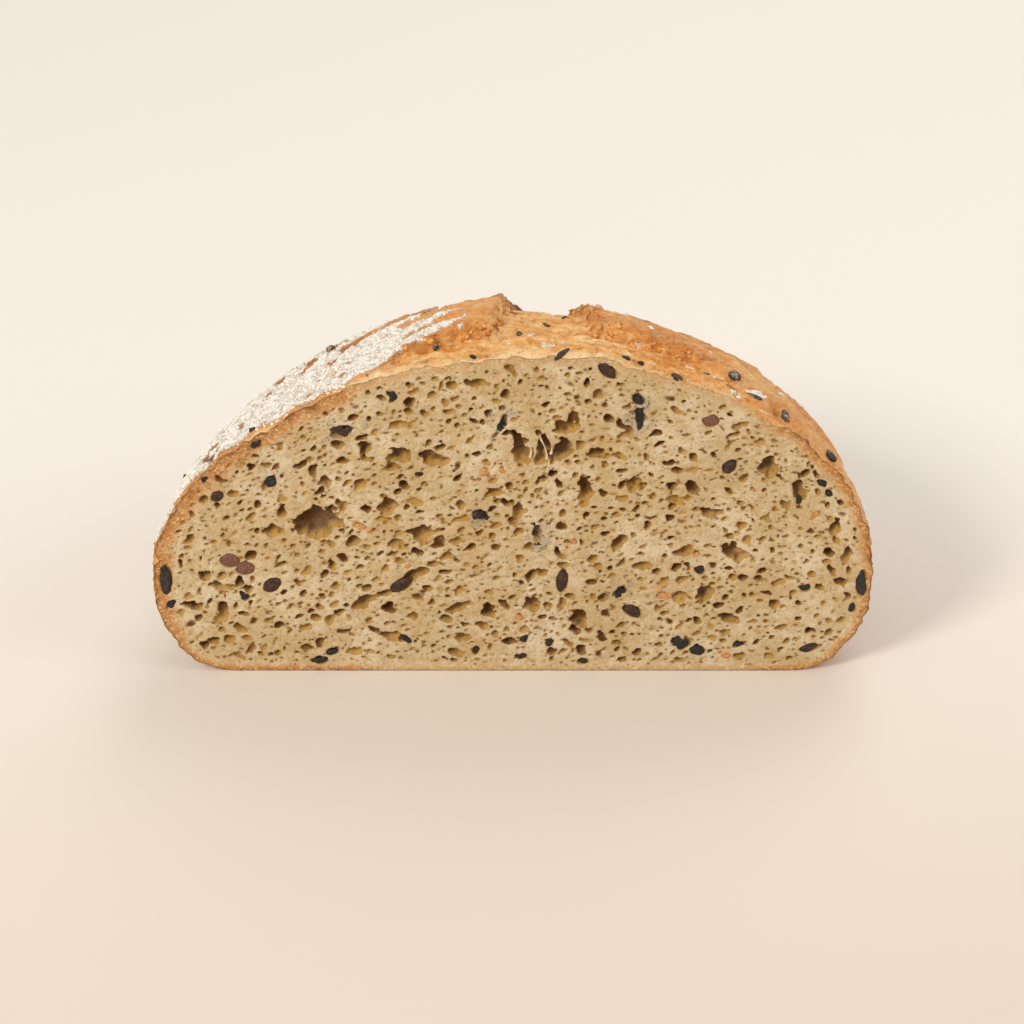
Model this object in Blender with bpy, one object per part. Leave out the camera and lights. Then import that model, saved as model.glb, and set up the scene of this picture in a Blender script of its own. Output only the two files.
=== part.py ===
"""Half of a round, slashed rye loaf with seeds. It stands on its flat base with the cut face at the front.

Units are metres and +Z is up. The cut face looks along -Y. The origin is under the middle of the half loaf.
"""

import math
import random

import bmesh
import bpy
from mathutils import Matrix, Vector, noise

MM = 0.001

# Driving sizes of the loaf before it was cut
LOAF_RADIUS = 100 * MM
LOAF_HEIGHT = 99 * MM
BELLY_HEIGHT = 27 * MM
BASE_RADIUS = 77 * MM
CUT_PLANE_Y = -50 * MM

# The right shoulder is fuller than the left one
SHOULDER_POWER = 2.0
SHOULDER_LEAN = 0.13
BELLY_SHARE = 0.78

# The two slashes: one runs along the cut, the other runs from the cut to the back
LONG_SLASH_CENTRE_X = 10 * MM
LONG_SLASH_LEFT_REACH = 54 * MM
LONG_SLASH_RIGHT_REACH = 60 * MM
LONG_SLASH_LEFT_TAPER = 1.6
LONG_SLASH_RIGHT_TAPER = 3.0
LONG_SLASH_WIDTH = 25 * MM
CROSS_SLASH_CENTRE_X = 9 * MM
CROSS_SLASH_REACH = 88 * MM
CROSS_SLASH_HALF_WIDTH = 14 * MM
CROSS_SLASH_TAPER = 2.4
SLASH_WOBBLE_SIZE = 12 * MM
SLASH_WOBBLE = 1.5 * MM
SLASH_DEPTH = 2.6 * MM
SLASH_STEP = 2.4 * MM
EAR_HEIGHT = 3.0 * MM
LIP_HEIGHT = 1.8 * MM
LIP_WIDTH = 9 * MM

# Rings that the proving basket leaves, and the unevenness of the crust
RING_PITCH = 9.5 * MM
RING_HEIGHT = 0.45 * MM
SWELL_SIZE = 46 * MM
SWELL_HEIGHT = 1.6 * MM
TORN_SIZE = 6 * MM
TORN_HEIGHT = 1.3 * MM
FLAT_BASE_FADE = 6 * MM

# Mesh density of the crust sheet
CELLS_ACROSS = 70
CELLS_BACK = 35

# Air holes in the crumb, as x and z of the centre, half length, half width (mm) and slant (degrees)
LARGE_HOLES = (
    (-53.0, 48.5, 6.6, 5.6, 10),
    (-31.1, 69.5, 4.9, 2.7, 25),
    (6.6, 72.7, 5.6, 2.8, -20),
    (19.7, 58.2, 4.0, 2.8, 80),
    (68.9, 66.2, 3.2, 2.3, 70),
    (-41.2, 22.6, 3.6, 1.9, 30),
    (59.9, 17.8, 3.2, 1.8, -15),
    (-15.6, 21.8, 4.0, 1.8, 15),
    (60.6, 38.8, 3.4, 2.4, 20),
    (-31.5, 53.3, 3.2, 2.2, 5),
    (16.3, 81.6, 2.6, 2.2, 60),
)
SMALL_HOLES = 76
SMALL_HOLE_HALF_LENGTH = (1.3 * MM, 2.6 * MM)
SMALL_HOLE_WIDTH_SHARE = (0.55, 0.85)
HOLE_DEPTH_SHARE = 0.8
HOLE_WALL = 1.0 * MM
RIM_MARGIN = 7 * MM

# Seeds in the cut face, in the same form as the holes
CUT_SEEDS = (
    (-95.2, 30.4, 6.2, 1.7, 83),
    (96.2, 29.4, 4.8, 1.6, 85),
    (-77.2, 36.0, 2.6, 2.2, 20),
    (-73.3, 33.4, 2.6, 2.2, 20),
    (-65.7, 28.3, 3.0, 2.2, 40),
    (-30.4, 28.4, 3.8, 1.7, 33),
    (13.8, 29.6, 3.9, 1.6, 88),
    (32.6, 19.7, 3.2, 2.2, -30),
    (47.2, 9.1, 2.6, 2.2, 0),
    (52.4, 6.4, 2.4, 2.1, 40),
    (58.5, 65.9, 3.0, 1.8, 60),
    (24.9, 94.0, 3.2, 1.9, -40),
    (-45.6, 76.4, 3.4, 2.2, 15),
    (-65.0, 60.9, 2.5, 2.0, 70),
    (-8.4, 51.2, 2.2, 1.7, 10),
    (6.3, 46.5, 2.8, 1.2, 80),
    (34.0, 81.6, 3.2, 1.4, 80),
    (-31.5, 87.0, 2.0, 1.1, 60),
)
CUT_SEED_RISE = 0.7 * MM
CRUST_SEEDS = 44
CRUST_SEED_HALF_SIZE = (2.6 * MM, 1.3 * MM, 0.9 * MM)
CRUST_SEED_SCALE = (0.75, 1.15)
CRUST_SEED_LOWEST_SHARE = 0.9
CRUST_SEED_CUT_MARGIN = 6 * MM
SPIRAL_STEPS = 2.4 * CRUST_SEEDS
TURN_OF_SPIRAL = math.pi * (3 - math.sqrt(5))
TORN_FLAKES = 16
FLAKE_HALF_SIZE = (2.6 * MM, 1.5 * MM, 0.8 * MM)
FLAKE_TILT = (0.5, 1.1)
FLAKE_SHIFT = 2 * MM
SUNK_IN_CRUST = 0.3 * MM
OUTLINE_HALVINGS = 24
SEED = 11

# Colours of the three finishes, as linear red, green and blue, with their roughness
CRUST_FINISH = (0.47, 0.22, 0.075), 0.75
CRUMB_FINISH = (0.55, 0.39, 0.2), 0.85
SEED_FINISH = (0.03, 0.022, 0.018), 0.45


def clamp(value, low=0.0, high=1.0):
    return max(low, min(high, value))


def smooth_step(value):
    value = clamp(value)
    return value * value * (3 - 2 * value)


def noise_at(point, size, shift=0.0):
    """Smooth noise from about -1 to 1 with features of the given size."""
    return noise.noise(point / size + Vector((shift, shift, shift)))


def loft_angle(share):
    """The angle at a share of the way from crown to base edge: 90 degrees at the crown, 0 at the belly."""
    if share < BELLY_SHARE:
        return math.pi / 2 * (1 - share / BELLY_SHARE)
    return -math.pi / 2 * (share - BELLY_SHARE) / (1 - BELLY_SHARE)


def smooth_crust(azimuth, share):
    """A point of the smooth loaf and the outward direction there, with the loaf's axis at x = y = 0."""
    angle = loft_angle(share)
    cosine, sine = max(math.cos(angle), 0.0), math.sin(angle)
    across = Vector((math.cos(azimuth), math.sin(azimuth), 0.0))
    if angle >= 0:
        power = 2 / (SHOULDER_POWER + SHOULDER_LEAN * math.cos(azimuth))
        rise = LOAF_HEIGHT - BELLY_HEIGHT
        radius = LOAF_RADIUS * cosine**power
        height = BELLY_HEIGHT + rise * sine**power
        outward = across * (radius / LOAF_RADIUS**2)
        outward.z = (height - BELLY_HEIGHT) / rise**2
    else:
        width = LOAF_RADIUS - BASE_RADIUS
        radius = BASE_RADIUS + width * cosine
        height = BELLY_HEIGHT * (1 + sine)
        outward = across * (cosine / width)
        outward.z = sine / BELLY_HEIGHT
    return across * radius + Vector((0, 0, height)), outward.normalized()


def share_at(azimuth, radius):
    """The share of the way down at which the upper crust is the given radius from the loaf's axis."""
    power = 2 / (SHOULDER_POWER + SHOULDER_LEAN * math.cos(azimuth))
    angle = math.acos(clamp(radius / LOAF_RADIUS) ** (1 / power))
    return BELLY_SHARE * (1 - angle / (math.pi / 2))


def long_slash_edge(x):
    """How far the slash along the cut reaches back from the cut at x."""
    if x < LONG_SLASH_CENTRE_X:
        run = clamp((LONG_SLASH_CENTRE_X - x) / LONG_SLASH_LEFT_REACH) ** LONG_SLASH_LEFT_TAPER
    else:
        run = clamp((x - LONG_SLASH_CENTRE_X) / LONG_SLASH_RIGHT_REACH) ** LONG_SLASH_RIGHT_TAPER
    return LONG_SLASH_WIDTH * (1 - run)


def cross_slash_edge(y):
    """Half the width of the slash that runs to the back, at y."""
    run = clamp(y / CROSS_SLASH_REACH)
    return CROSS_SLASH_HALF_WIDTH * math.sqrt(1 - run**CROSS_SLASH_TAPER)


def slash_distance(point):
    """Distance in plan from the nearest slash: negative inside it, positive out on the petals."""
    wobble = SLASH_WOBBLE * noise_at(point, SLASH_WOBBLE_SIZE, 3.0)
    along = point.y - long_slash_edge(point.x)
    across = abs(point.x - CROSS_SLASH_CENTRE_X) - cross_slash_edge(point.y)
    return min(along, across) + wobble


def crust_relief(point):
    """How far the crust stands out from the smooth loaf."""
    swell = SWELL_HEIGHT * noise_at(point, SWELL_SIZE, 7.0)
    distance = slash_distance(point)
    inside = smooth_step(0.5 - distance / SLASH_STEP)
    on_top = 1 - smooth_step((point.y - CROSS_SLASH_REACH) / LIP_WIDTH + 1)
    lifted = EAR_HEIGHT if point.x < CROSS_SLASH_CENTRE_X else LIP_HEIGHT
    near_cut = smooth_step(point.y / LONG_SLASH_WIDTH)
    lip = lifted * on_top * near_cut * math.exp(-max(distance, 0.0) / LIP_WIDTH)
    torn = TORN_HEIGHT * noise_at(point, TORN_SIZE, 5.0)
    rings = RING_HEIGHT * math.sin(2 * math.pi * math.hypot(point.x, point.y) / RING_PITCH)
    sunk = torn - SLASH_DEPTH * near_cut
    relief = swell + inside * sunk + (1 - inside) * (lip + rings)
    fade = smooth_step(point.z / FLAT_BASE_FADE)
    return relief * fade


def crust_point(azimuth, share):
    """A point of the real crust: the smooth loaf with slashes, lips, rings and swells."""
    point, outward = smooth_crust(azimuth, share)
    return point + outward * crust_relief(point)


def half_disc(u, v):
    """Turns a grid corner, u from -1 to 1 and v from 0 to 1, into an azimuth and a share of the way down."""
    x = u * math.sqrt(1 - v * v / 2)
    y = v * math.sqrt(1 - u * u / 2)
    return math.atan2(y, x), clamp(math.hypot(x, y))


def material(name, colour, roughness):
    """A plain finish with the given linear colour."""
    made = bpy.data.materials.new(name)
    made.use_nodes = True
    shader = made.node_tree.nodes["Principled BSDF"]
    shader.inputs["Base Color"].default_value = (*colour, 1.0)
    shader.inputs["Roughness"].default_value = roughness
    shader.inputs["Metallic"].default_value = 0.0
    return made


def new_object(name, bm, collection, finish):
    """Turns a bmesh into an object in the collection."""
    mesh = bpy.data.meshes.new(name)
    bm.to_mesh(mesh)
    bm.free()
    mesh.materials.append(finish)
    made = bpy.data.objects.new(name, mesh)
    collection.objects.link(made)
    return made


def new_collection(name):
    made = bpy.data.collections.new(name)
    bpy.context.scene.collection.children.link(made)
    return made


def build_half_loaf(collection, finish):
    """The loaf without holes or seeds: a grid formed over the crown, closed by the base and the cut face."""
    bm = bmesh.new()
    half_square = Matrix.Translation((0, 0.5, 0)) @ Matrix.Diagonal((1, 0.5, 1, 1))
    bmesh.ops.create_grid(bm, x_segments=CELLS_ACROSS, y_segments=CELLS_BACK, size=1.0, matrix=half_square)
    cut_line = [v for v in bm.verts if math.isclose(v.co.y, 0.0, abs_tol=1e-6)]
    ends = min(cut_line, key=lambda v: v.co.x), max(cut_line, key=lambda v: v.co.x)
    cut_edges = [e for e in bm.edges if e.is_boundary and all(v in cut_line for v in e.verts)]
    base_edges = [e for e in bm.edges if e.is_boundary and e not in cut_edges]
    for vertex in bm.verts:
        azimuth, share = half_disc(vertex.co.x, vertex.co.y)
        vertex.co = crust_point(azimuth, share) + Vector((0, CUT_PLANE_Y, 0))
    for vertex in cut_line:
        vertex.co.y = CUT_PLANE_Y
    for edge in base_edges:
        for vertex in edge.verts:
            vertex.co.z = 0.0
    bottom_of_cut = bm.edges.new(ends)
    bmesh.ops.edgeloop_fill(bm, edges=cut_edges + [bottom_of_cut])
    bmesh.ops.edgeloop_fill(bm, edges=base_edges + [bottom_of_cut])
    bmesh.ops.recalc_face_normals(bm, faces=bm.faces)
    return new_object("half_loaf", bm, collection, finish)


def lump(name, collection, finish, centre, half_size, turn, fineness=1, roll=0.0):
    """A pebble-shaped closed body, used for holes, seeds and flakes. The roll turns its facets about."""
    bm = bmesh.new()
    bmesh.ops.create_icosphere(bm, subdivisions=fineness, radius=1.0)
    rolled = Matrix.Rotation(roll, 4, Vector((1, 2, 3)).normalized())
    sizes = Matrix.Diagonal((*half_size, 1))
    bm.transform(Matrix.Translation(centre) @ turn @ sizes @ rolled)
    return new_object(name, bm, collection, finish)


def outline_radius(angle):
    """Distance from the middle of the cut face's bottom edge to its outline, towards the angle."""
    low, high = 0.0, 1.0
    azimuth = 0.0 if math.cos(angle) > 0 else math.pi
    steepness = math.atan2(math.sin(angle), abs(math.cos(angle)))
    for _ in range(OUTLINE_HALVINGS):
        middle = (low + high) / 2
        point = crust_point(azimuth, middle)
        if math.atan2(point.z, abs(point.x)) > steepness:
            low = middle
        else:
            high = middle
    point = crust_point(azimuth, low)
    return math.hypot(point.x, point.z)


def in_crumb(x, z, margin):
    """Whether a place on the cut face lies further than the margin from its outline."""
    return z > margin and math.hypot(x, z) < outline_radius(math.atan2(z, x)) - margin


def hole_plan(draw):
    """Each hole's x, z, half length, half width and slant: the large ones, then small ones between them."""
    holes = [(x * MM, z * MM, a * MM, b * MM, math.radians(s)) for x, z, a, b, s in LARGE_HOLES]
    taken = [(x * MM, z * MM, a * MM) for x, z, a, _, _ in LARGE_HOLES + CUT_SEEDS]
    wanted = len(holes) + SMALL_HOLES
    while len(holes) < wanted:
        x = draw.uniform(-LOAF_RADIUS, LOAF_RADIUS)
        z = draw.uniform(0, LOAF_HEIGHT)
        length = draw.uniform(*SMALL_HOLE_HALF_LENGTH)
        clear = all(math.hypot(x - p, z - q) > length + r + HOLE_WALL for p, q, r in taken)
        if clear and in_crumb(x, z, RIM_MARGIN):
            width = length * draw.uniform(*SMALL_HOLE_WIDTH_SHARE)
            holes.append((x, z, length, width, draw.uniform(0, math.pi)))
            taken.append((x, z, length))
    return holes


def build_holes(collection, finish, draw):
    """Bodies in the form of the air holes, half of each in front of the cut face."""
    for number, (x, z, length, width, slant) in enumerate(hole_plan(draw)):
        half_size = (length, width * HOLE_DEPTH_SHARE, width)
        turn = Matrix.Rotation(-slant, 4, "Y")
        fineness = 2 if number < len(LARGE_HOLES) else 1
        centre = Vector((x, CUT_PLANE_Y, z))
        roll = draw.uniform(0, math.tau)
        lump(f"hole_{number}", collection, finish, centre, half_size, turn, fineness, roll)


def build_cut_seeds(collection, finish):
    """Seeds that the knife left standing a little out of the crumb."""
    for number, (x, z, length, width, slant) in enumerate(CUT_SEEDS):
        half_size = (length * MM, CUT_SEED_RISE * 2, width * MM)
        turn = Matrix.Rotation(-math.radians(slant), 4, "Y")
        centre = Vector((x * MM, CUT_PLANE_Y + CUT_SEED_RISE, z * MM))
        lump(f"cut_seed_{number}", collection, finish, centre, half_size, turn)


def on_crust(half_loaf, azimuth, share, spin):
    """The centre and turn of a piece that lies on the crust, sunk a little into it."""
    wanted = crust_point(azimuth, share) + Vector((0, CUT_PLANE_Y, 0))
    _, point, outward, _ = half_loaf.closest_point_on_mesh(wanted)
    turn = outward.to_track_quat("Z", "Y").to_matrix().to_4x4() @ Matrix.Rotation(spin, 4, "Z")
    return point - outward * SUNK_IN_CRUST, turn


def build_crust_seeds(half_loaf, collection, finish, draw):
    """Seeds on the crust, spread evenly on a spiral and kept off the cut edge and the base."""
    made = 0
    step = 0
    while made < CRUST_SEEDS:
        step += 1
        azimuth = (step * TURN_OF_SPIRAL) % math.tau
        share = CRUST_SEED_LOWEST_SHARE * (math.sqrt(step / SPIRAL_STEPS) % 1.0)
        point, _ = smooth_crust(azimuth, share)
        if point.y < CRUST_SEED_CUT_MARGIN:
            continue
        centre, turn = on_crust(half_loaf, azimuth, share, draw.uniform(0, math.pi))
        size = draw.uniform(*CRUST_SEED_SCALE)
        half_size = tuple(side * size for side in CRUST_SEED_HALF_SIZE)
        lump(f"crust_seed_{made}", collection, finish, centre, half_size, turn)
        made += 1


def build_flakes(half_loaf, collection, finish, draw):
    """Ragged flakes of torn crust that stand up along both edges of the slash that runs to the back."""
    for number in range(TORN_FLAKES):
        y = LONG_SLASH_WIDTH + number / TORN_FLAKES * (CROSS_SLASH_REACH - 2 * LONG_SLASH_WIDTH)
        side = -1 if number % 2 else 1
        x = CROSS_SLASH_CENTRE_X + side * (cross_slash_edge(y) + draw.uniform(0, FLAKE_SHIFT))
        azimuth = math.atan2(y, x)
        share = share_at(azimuth, math.hypot(x, y))
        centre, turn = on_crust(half_loaf, azimuth, share, draw.uniform(0, math.pi))
        tilt = Matrix.Rotation(draw.uniform(*FLAKE_TILT), 4, "X")
        lump(f"flake_{number}", collection, finish, centre, FLAKE_HALF_SIZE, turn @ tilt)


def apply_boolean(target, collection, operation):
    """Cuts or joins the collection's bodies with the target, keeps the result and removes the bodies."""
    modifier = target.modifiers.new(operation.lower(), "BOOLEAN")
    modifier.operation = operation
    modifier.operand_type = "COLLECTION"
    modifier.collection = collection
    modifier.solver = "EXACT"
    modifier.material_mode = "TRANSFER"
    graph = bpy.context.evaluated_depsgraph_get()
    formed = bpy.data.meshes.new_from_object(target.evaluated_get(graph))
    target.modifiers.clear()
    target.data = formed
    for body in list(collection.objects):
        bpy.data.objects.remove(body)
    bpy.data.collections.remove(collection)


def main():
    """Clears the scene and builds the half loaf as one solid."""
    for left in list(bpy.data.objects):
        bpy.data.objects.remove(left)
    draw = random.Random(SEED)
    crust = material("crust", *CRUST_FINISH)
    crumb = material("crumb", *CRUMB_FINISH)
    seed = material("seed", *SEED_FINISH)
    bread = new_collection("rye_loaf")
    half_loaf = build_half_loaf(bread, crust)
    holes = new_collection("holes")
    build_holes(holes, crumb, draw)
    apply_boolean(half_loaf, holes, "DIFFERENCE")
    seeds = new_collection("seeds")
    build_cut_seeds(seeds, seed)
    build_crust_seeds(half_loaf, seeds, seed, draw)
    build_flakes(half_loaf, seeds, crust, draw)
    apply_boolean(half_loaf, seeds, "UNION")


main()
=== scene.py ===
"""Dresses half of a round, slashed rye loaf: its baked crust, its seeded crumb and the seeds in both.

Units are metres and +Z is up. The cut face looks along -Y and the half loaf stands on its flat base.
Shapes are worked out in millimetres, with the loaf's own axis at x = y = 0 and the cut at y = 0.
"""

import logging
import math
from collections.abc import Callable
from dataclasses import dataclass, field, replace
from enum import Enum

import bmesh
import bpy
import numpy as np
from mathutils import Matrix, Vector, noise
from mathutils.kdtree import KDTree


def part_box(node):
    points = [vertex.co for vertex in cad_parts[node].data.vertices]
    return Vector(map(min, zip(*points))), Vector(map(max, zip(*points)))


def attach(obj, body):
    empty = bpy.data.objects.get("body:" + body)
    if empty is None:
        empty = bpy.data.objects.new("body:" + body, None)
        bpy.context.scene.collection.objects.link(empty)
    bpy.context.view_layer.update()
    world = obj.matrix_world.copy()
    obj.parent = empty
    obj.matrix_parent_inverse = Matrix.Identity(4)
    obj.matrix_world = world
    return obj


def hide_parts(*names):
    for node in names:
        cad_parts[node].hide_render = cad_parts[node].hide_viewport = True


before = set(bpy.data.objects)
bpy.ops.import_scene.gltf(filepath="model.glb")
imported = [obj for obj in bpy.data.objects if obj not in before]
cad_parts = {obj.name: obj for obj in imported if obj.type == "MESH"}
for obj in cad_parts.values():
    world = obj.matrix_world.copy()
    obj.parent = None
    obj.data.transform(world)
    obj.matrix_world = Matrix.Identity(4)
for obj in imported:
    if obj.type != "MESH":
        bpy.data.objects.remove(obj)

LOG = logging.getLogger("half_loaf")
SOLID = "half_loaf"
BODY = "root"
MM = 0.001
CUT_Y = -50 * MM
SEED = 29
SHARP_ANGLE = math.radians(72)

Array = np.ndarray


class Operation(Enum):
    """The Math node operations that shader expressions use."""

    ADD = "ADD"
    SUBTRACT = "SUBTRACT"
    MULTIPLY = "MULTIPLY"
    DIVIDE = "DIVIDE"
    MAXIMUM = "MAXIMUM"


class SeedKind(Enum):
    """The seeds and grains that were baked into the loaf."""

    FLAX = "flax"
    NIGELLA = "nigella"
    SUNFLOWER = "sunflower"
    RED_GRAIN = "red_grain"
    ORANGE_GRAIN = "orange_grain"
    PALE_GRAIN = "pale_grain"


def linear(red: int, green: int, blue: int) -> tuple[float, float, float, float]:
    """Turns a colour as a screen shows it, from 0 to 255, into the linear colour that a shader takes."""
    shares = [value / 255 for value in (red, green, blue)]
    return *(((share + 0.055) / 1.055) ** 2.4 if share > 0.04045 else share / 12.92 for share in shares), 1.0


def smooth_step(values: Array) -> Array:
    """Eases values from 0 to 1 and holds them there outside that range."""
    held = np.clip(values, 0.0, 1.0)
    return held * held * (3 - 2 * held)


def noise_at(points: Array, size: float, shift: float = 0.0) -> Array:
    """Smooth noise from about -1 to 1 at points in millimetres, with features of a size in millimetres."""
    return np.array([noise.noise(place) for place in points / size + shift])


def layered_noise(points: Array, size: float, layers: int, shift: float = 0.0) -> Array:
    """Sums noise at ever finer sizes, each half as strong as the one before.

    Args:
        points: Points in millimetres, one a row.
        size: The size of the coarsest features in millimetres.
        layers: How many sizes are summed.
        shift: Moves the pattern, so that two calls differ.

    Returns:
        One value a point, from about -1 to 1.
    """
    total = np.zeros(len(points))
    for layer in range(layers):
        total += noise_at(points, size / 2**layer, shift + 17.0 * layer) / 2**layer
    return total


def blisters_at(points: Array, size: float, shift: float = 0.0) -> Array:
    """Domes on scattered spots, as small gas bubbles make: 1 at a spot's middle and 0 between spots."""
    nearest = [noise.voronoi(place)[0][0] for place in points / size + shift]
    return smooth_step(1 - np.array(nearest) / 0.55)


def math_method(operation: Operation, swapped: bool = False) -> Callable:
    """Makes a method of Socket that adds one Math node.

    Args:
        operation: What the node does.
        swapped: Whether the socket is the second of the two values.

    Returns:
        The method, which takes the other value.
    """
    def method(self: "Socket", other: "Socket | float") -> "Socket":
        """Adds the node for this socket and another value."""
        first, second = (other, self) if swapped else (self, other)
        return self.graph.node("ShaderNodeMath", {"operation": operation.value}, {0: first, 1: second})

    return method


class Socket:
    """A node's output that takes part in Python expressions, each of which adds a Math node."""

    def __init__(self, graph: "Graph", output: bpy.types.NodeSocket) -> None:
        """Keeps the output and the graph that new nodes go into."""
        self.graph = graph
        self.output = output

    __add__ = __radd__ = math_method(Operation.ADD)
    __sub__ = math_method(Operation.SUBTRACT)
    __rsub__ = math_method(Operation.SUBTRACT, swapped=True)
    __mul__ = __rmul__ = math_method(Operation.MULTIPLY)
    __truediv__ = math_method(Operation.DIVIDE)
    most = math_method(Operation.MAXIMUM)

    def between(self, low: float, high: float) -> "Socket":
        """Eases from 0 at the low value to 1 at the high one."""
        settings = {"interpolation_type": "SMOOTHSTEP"}
        return self.graph.node("ShaderNodeMapRange", settings, {0: self, 1: low, 2: high})


class Graph:
    """A shader or geometry tree that Python expressions and one node method fill."""

    def __init__(self, tree: bpy.types.NodeTree) -> None:
        """Keeps the tree."""
        self.tree = tree

    def node(self, kind: str, settings: dict | None = None, inputs: dict | None = None,
             output: int | str = 0) -> Socket:
        """Adds a node.

        Args:
            kind: The node's type.
            settings: Its properties, or a ramp's stops under "stops", which are set first.
            inputs: Values or sockets by the input's name or number.
            output: The name or number of the output to return.

        Returns:
            The chosen output.
        """
        made = self.tree.nodes.new(kind)
        for name, value in (settings or {}).items():
            if name == "stops":
                self._set_stops(made.color_ramp, value)
            else:
                setattr(made, name, value)
        for key, value in (inputs or {}).items():
            if isinstance(value, Socket):
                self.tree.links.new(value.output, made.inputs[key])
            else:
                made.inputs[key].default_value = value
        return Socket(self, made.outputs[output])

    def axis(self, place: Socket, number: int) -> Socket:
        """One coordinate of a place: 0 for x, 1 for y and 2 for z."""
        return self.node("ShaderNodeSeparateXYZ", inputs={0: place}, output=number)

    def shift(self, size: float, reach: "Socket | float", place: Socket | None = None) -> Socket:
        """A shift that varies smoothly from place to place.

        Args:
            size: The size of the noise's features in millimetres.
            reach: The shift's range along each axis, in metres.
            place: The coordinates that the noise goes by, or the node's own.

        Returns:
            The shift.
        """
        inputs = {"Scale": 1 / (size * MM), "Detail": 1.0, **({"Vector": place} if place else {})}
        colour = self.node("ShaderNodeTexNoise", inputs=inputs, output=1)
        middle = (0.5, 0.5, 0.5)
        centred = self.node("ShaderNodeVectorMath", {"operation": "SUBTRACT"}, {0: colour, 1: middle})
        return self.node("ShaderNodeVectorMath", {"operation": "SCALE"}, {0: centred, "Scale": reach})

    @staticmethod
    def _set_stops(ramp: bpy.types.ColorRamp, stops: tuple) -> None:
        """Gives a colour ramp its stops, as pairs of place and colour."""
        while len(ramp.elements) < len(stops):
            ramp.elements.new(1.0)
        for element, (place, colour) in zip(ramp.elements, stops):
            element.position = place
            element.color = colour


class Finish(Graph):
    """A material whose look is built from patterns on the piece's own coordinates."""

    def __init__(self, name: str) -> None:
        """Makes an empty material with its shader and output."""
        self.material = bpy.data.materials.new(name)
        self.material.use_nodes = True
        super().__init__(self.material.node_tree)
        self.tree.nodes.clear()
        self.shader = self.tree.nodes.new("ShaderNodeBsdfPrincipled")
        surface = self.tree.nodes.new("ShaderNodeOutputMaterial")
        self.tree.links.new(self.shader.outputs[0], surface.inputs["Surface"])
        self.place = self.node("ShaderNodeTexCoord", output="Object")

    def noise(self, size: float, detail: float = 2.0, rough: float = 0.5, bend: float = 0.0,
              place: Socket | None = None) -> Socket:
        """Smooth noise from 0 to 1 with features of a size in millimetres."""
        inputs = {"Vector": place or self.place, "Scale": 1 / (size * MM), "Detail": detail,
                  "Roughness": rough, "Distortion": bend}
        return self.node("ShaderNodeTexNoise", inputs=inputs)

    def cells(self, size: float, feature: str = "F1", place: Socket | None = None) -> Socket:
        """The distance from the spots or the edges of cells of a size in millimetres."""
        inputs = {"Vector": place or self.place, "Scale": 1 / (size * MM)}
        return self.node("ShaderNodeTexVoronoi", {"feature": feature}, inputs)

    def stretched(self, scale: tuple[float, float, float]) -> Socket:
        """The piece's coordinates, squeezed along its axes."""
        return self.node("ShaderNodeMapping", inputs={"Vector": self.place, "Scale": scale})

    def bent(self, size: float, reach: float, place: Socket | None = None) -> Socket:
        """Coordinates bent by noise, with bends and a reach in millimetres."""
        place = place or self.place
        scaled = self.shift(size, 2 * reach * MM, place)
        return self.node("ShaderNodeVectorMath", {"operation": "ADD"}, {0: place, 1: scaled})

    def attribute(self, name: str) -> Socket:
        """A value that the piece's mesh carries."""
        return self.node("ShaderNodeAttribute", {"attribute_name": name}, output="Fac")

    def mix(self, mask: Socket, first: "Socket | tuple", second: "Socket | tuple") -> Socket:
        """Mixes two colours by a mask: 0 gives the first and 1 the second."""
        inputs = {0: mask, 6: first, 7: second}
        return self.node("ShaderNodeMix", {"data_type": "RGBA"}, inputs, output=2)

    def coated(self, colour: "Socket | tuple", *coats: tuple[Socket, "Socket | tuple"]) -> Socket:
        """Lays coats over a colour, each one a mask and its colour."""
        for mask, coat in coats:
            colour = self.mix(mask, colour, coat)
        return colour

    def ramp(self, value: Socket, stops: tuple) -> Socket:
        """Turns a value into a colour by stops of place and colour."""
        return self.node("ShaderNodeValToRGB", {"stops": stops}, {0: value})

    def finish(self, colour: Socket, roughness: "Socket | float", height: Socket | None = None,
               rise: float = 1.0, constants: dict | None = None) -> bpy.types.Material:
        """Feeds the shader.

        Args:
            colour: The base colour.
            roughness: The roughness, which may vary.
            height: The fine relief, from 0 to 1.
            rise: How high the relief's 1 stands, in millimetres.
            constants: Shader values that are the same all over.

        Returns:
            The finished material.
        """
        self._feed("Base Color", colour)
        self._feed("Roughness", roughness)
        if height is not None:
            inputs = {"Height": height, "Distance": rise * MM}
            self._feed("Normal", self.node("ShaderNodeBump", inputs=inputs))
        for name, value in (constants or {}).items():
            self.shader.inputs[name].default_value = value
        return self.material

    def _feed(self, name: str, value: "Socket | float") -> None:
        """Links or sets one of the shader's sockets."""
        if isinstance(value, Socket):
            self.tree.links.new(value.output, self.shader.inputs[name])
        else:
            self.shader.inputs[name].default_value = value


def translucent(gloss: float, weight: float, radius: tuple, reach: float) -> dict:
    """The shader's constants where a little light gets in, as deep as the reach in millimetres."""
    return {"Specular IOR Level": gloss, "Subsurface Weight": weight, "Subsurface Radius": radius,
            "Subsurface Scale": reach * MM}


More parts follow.
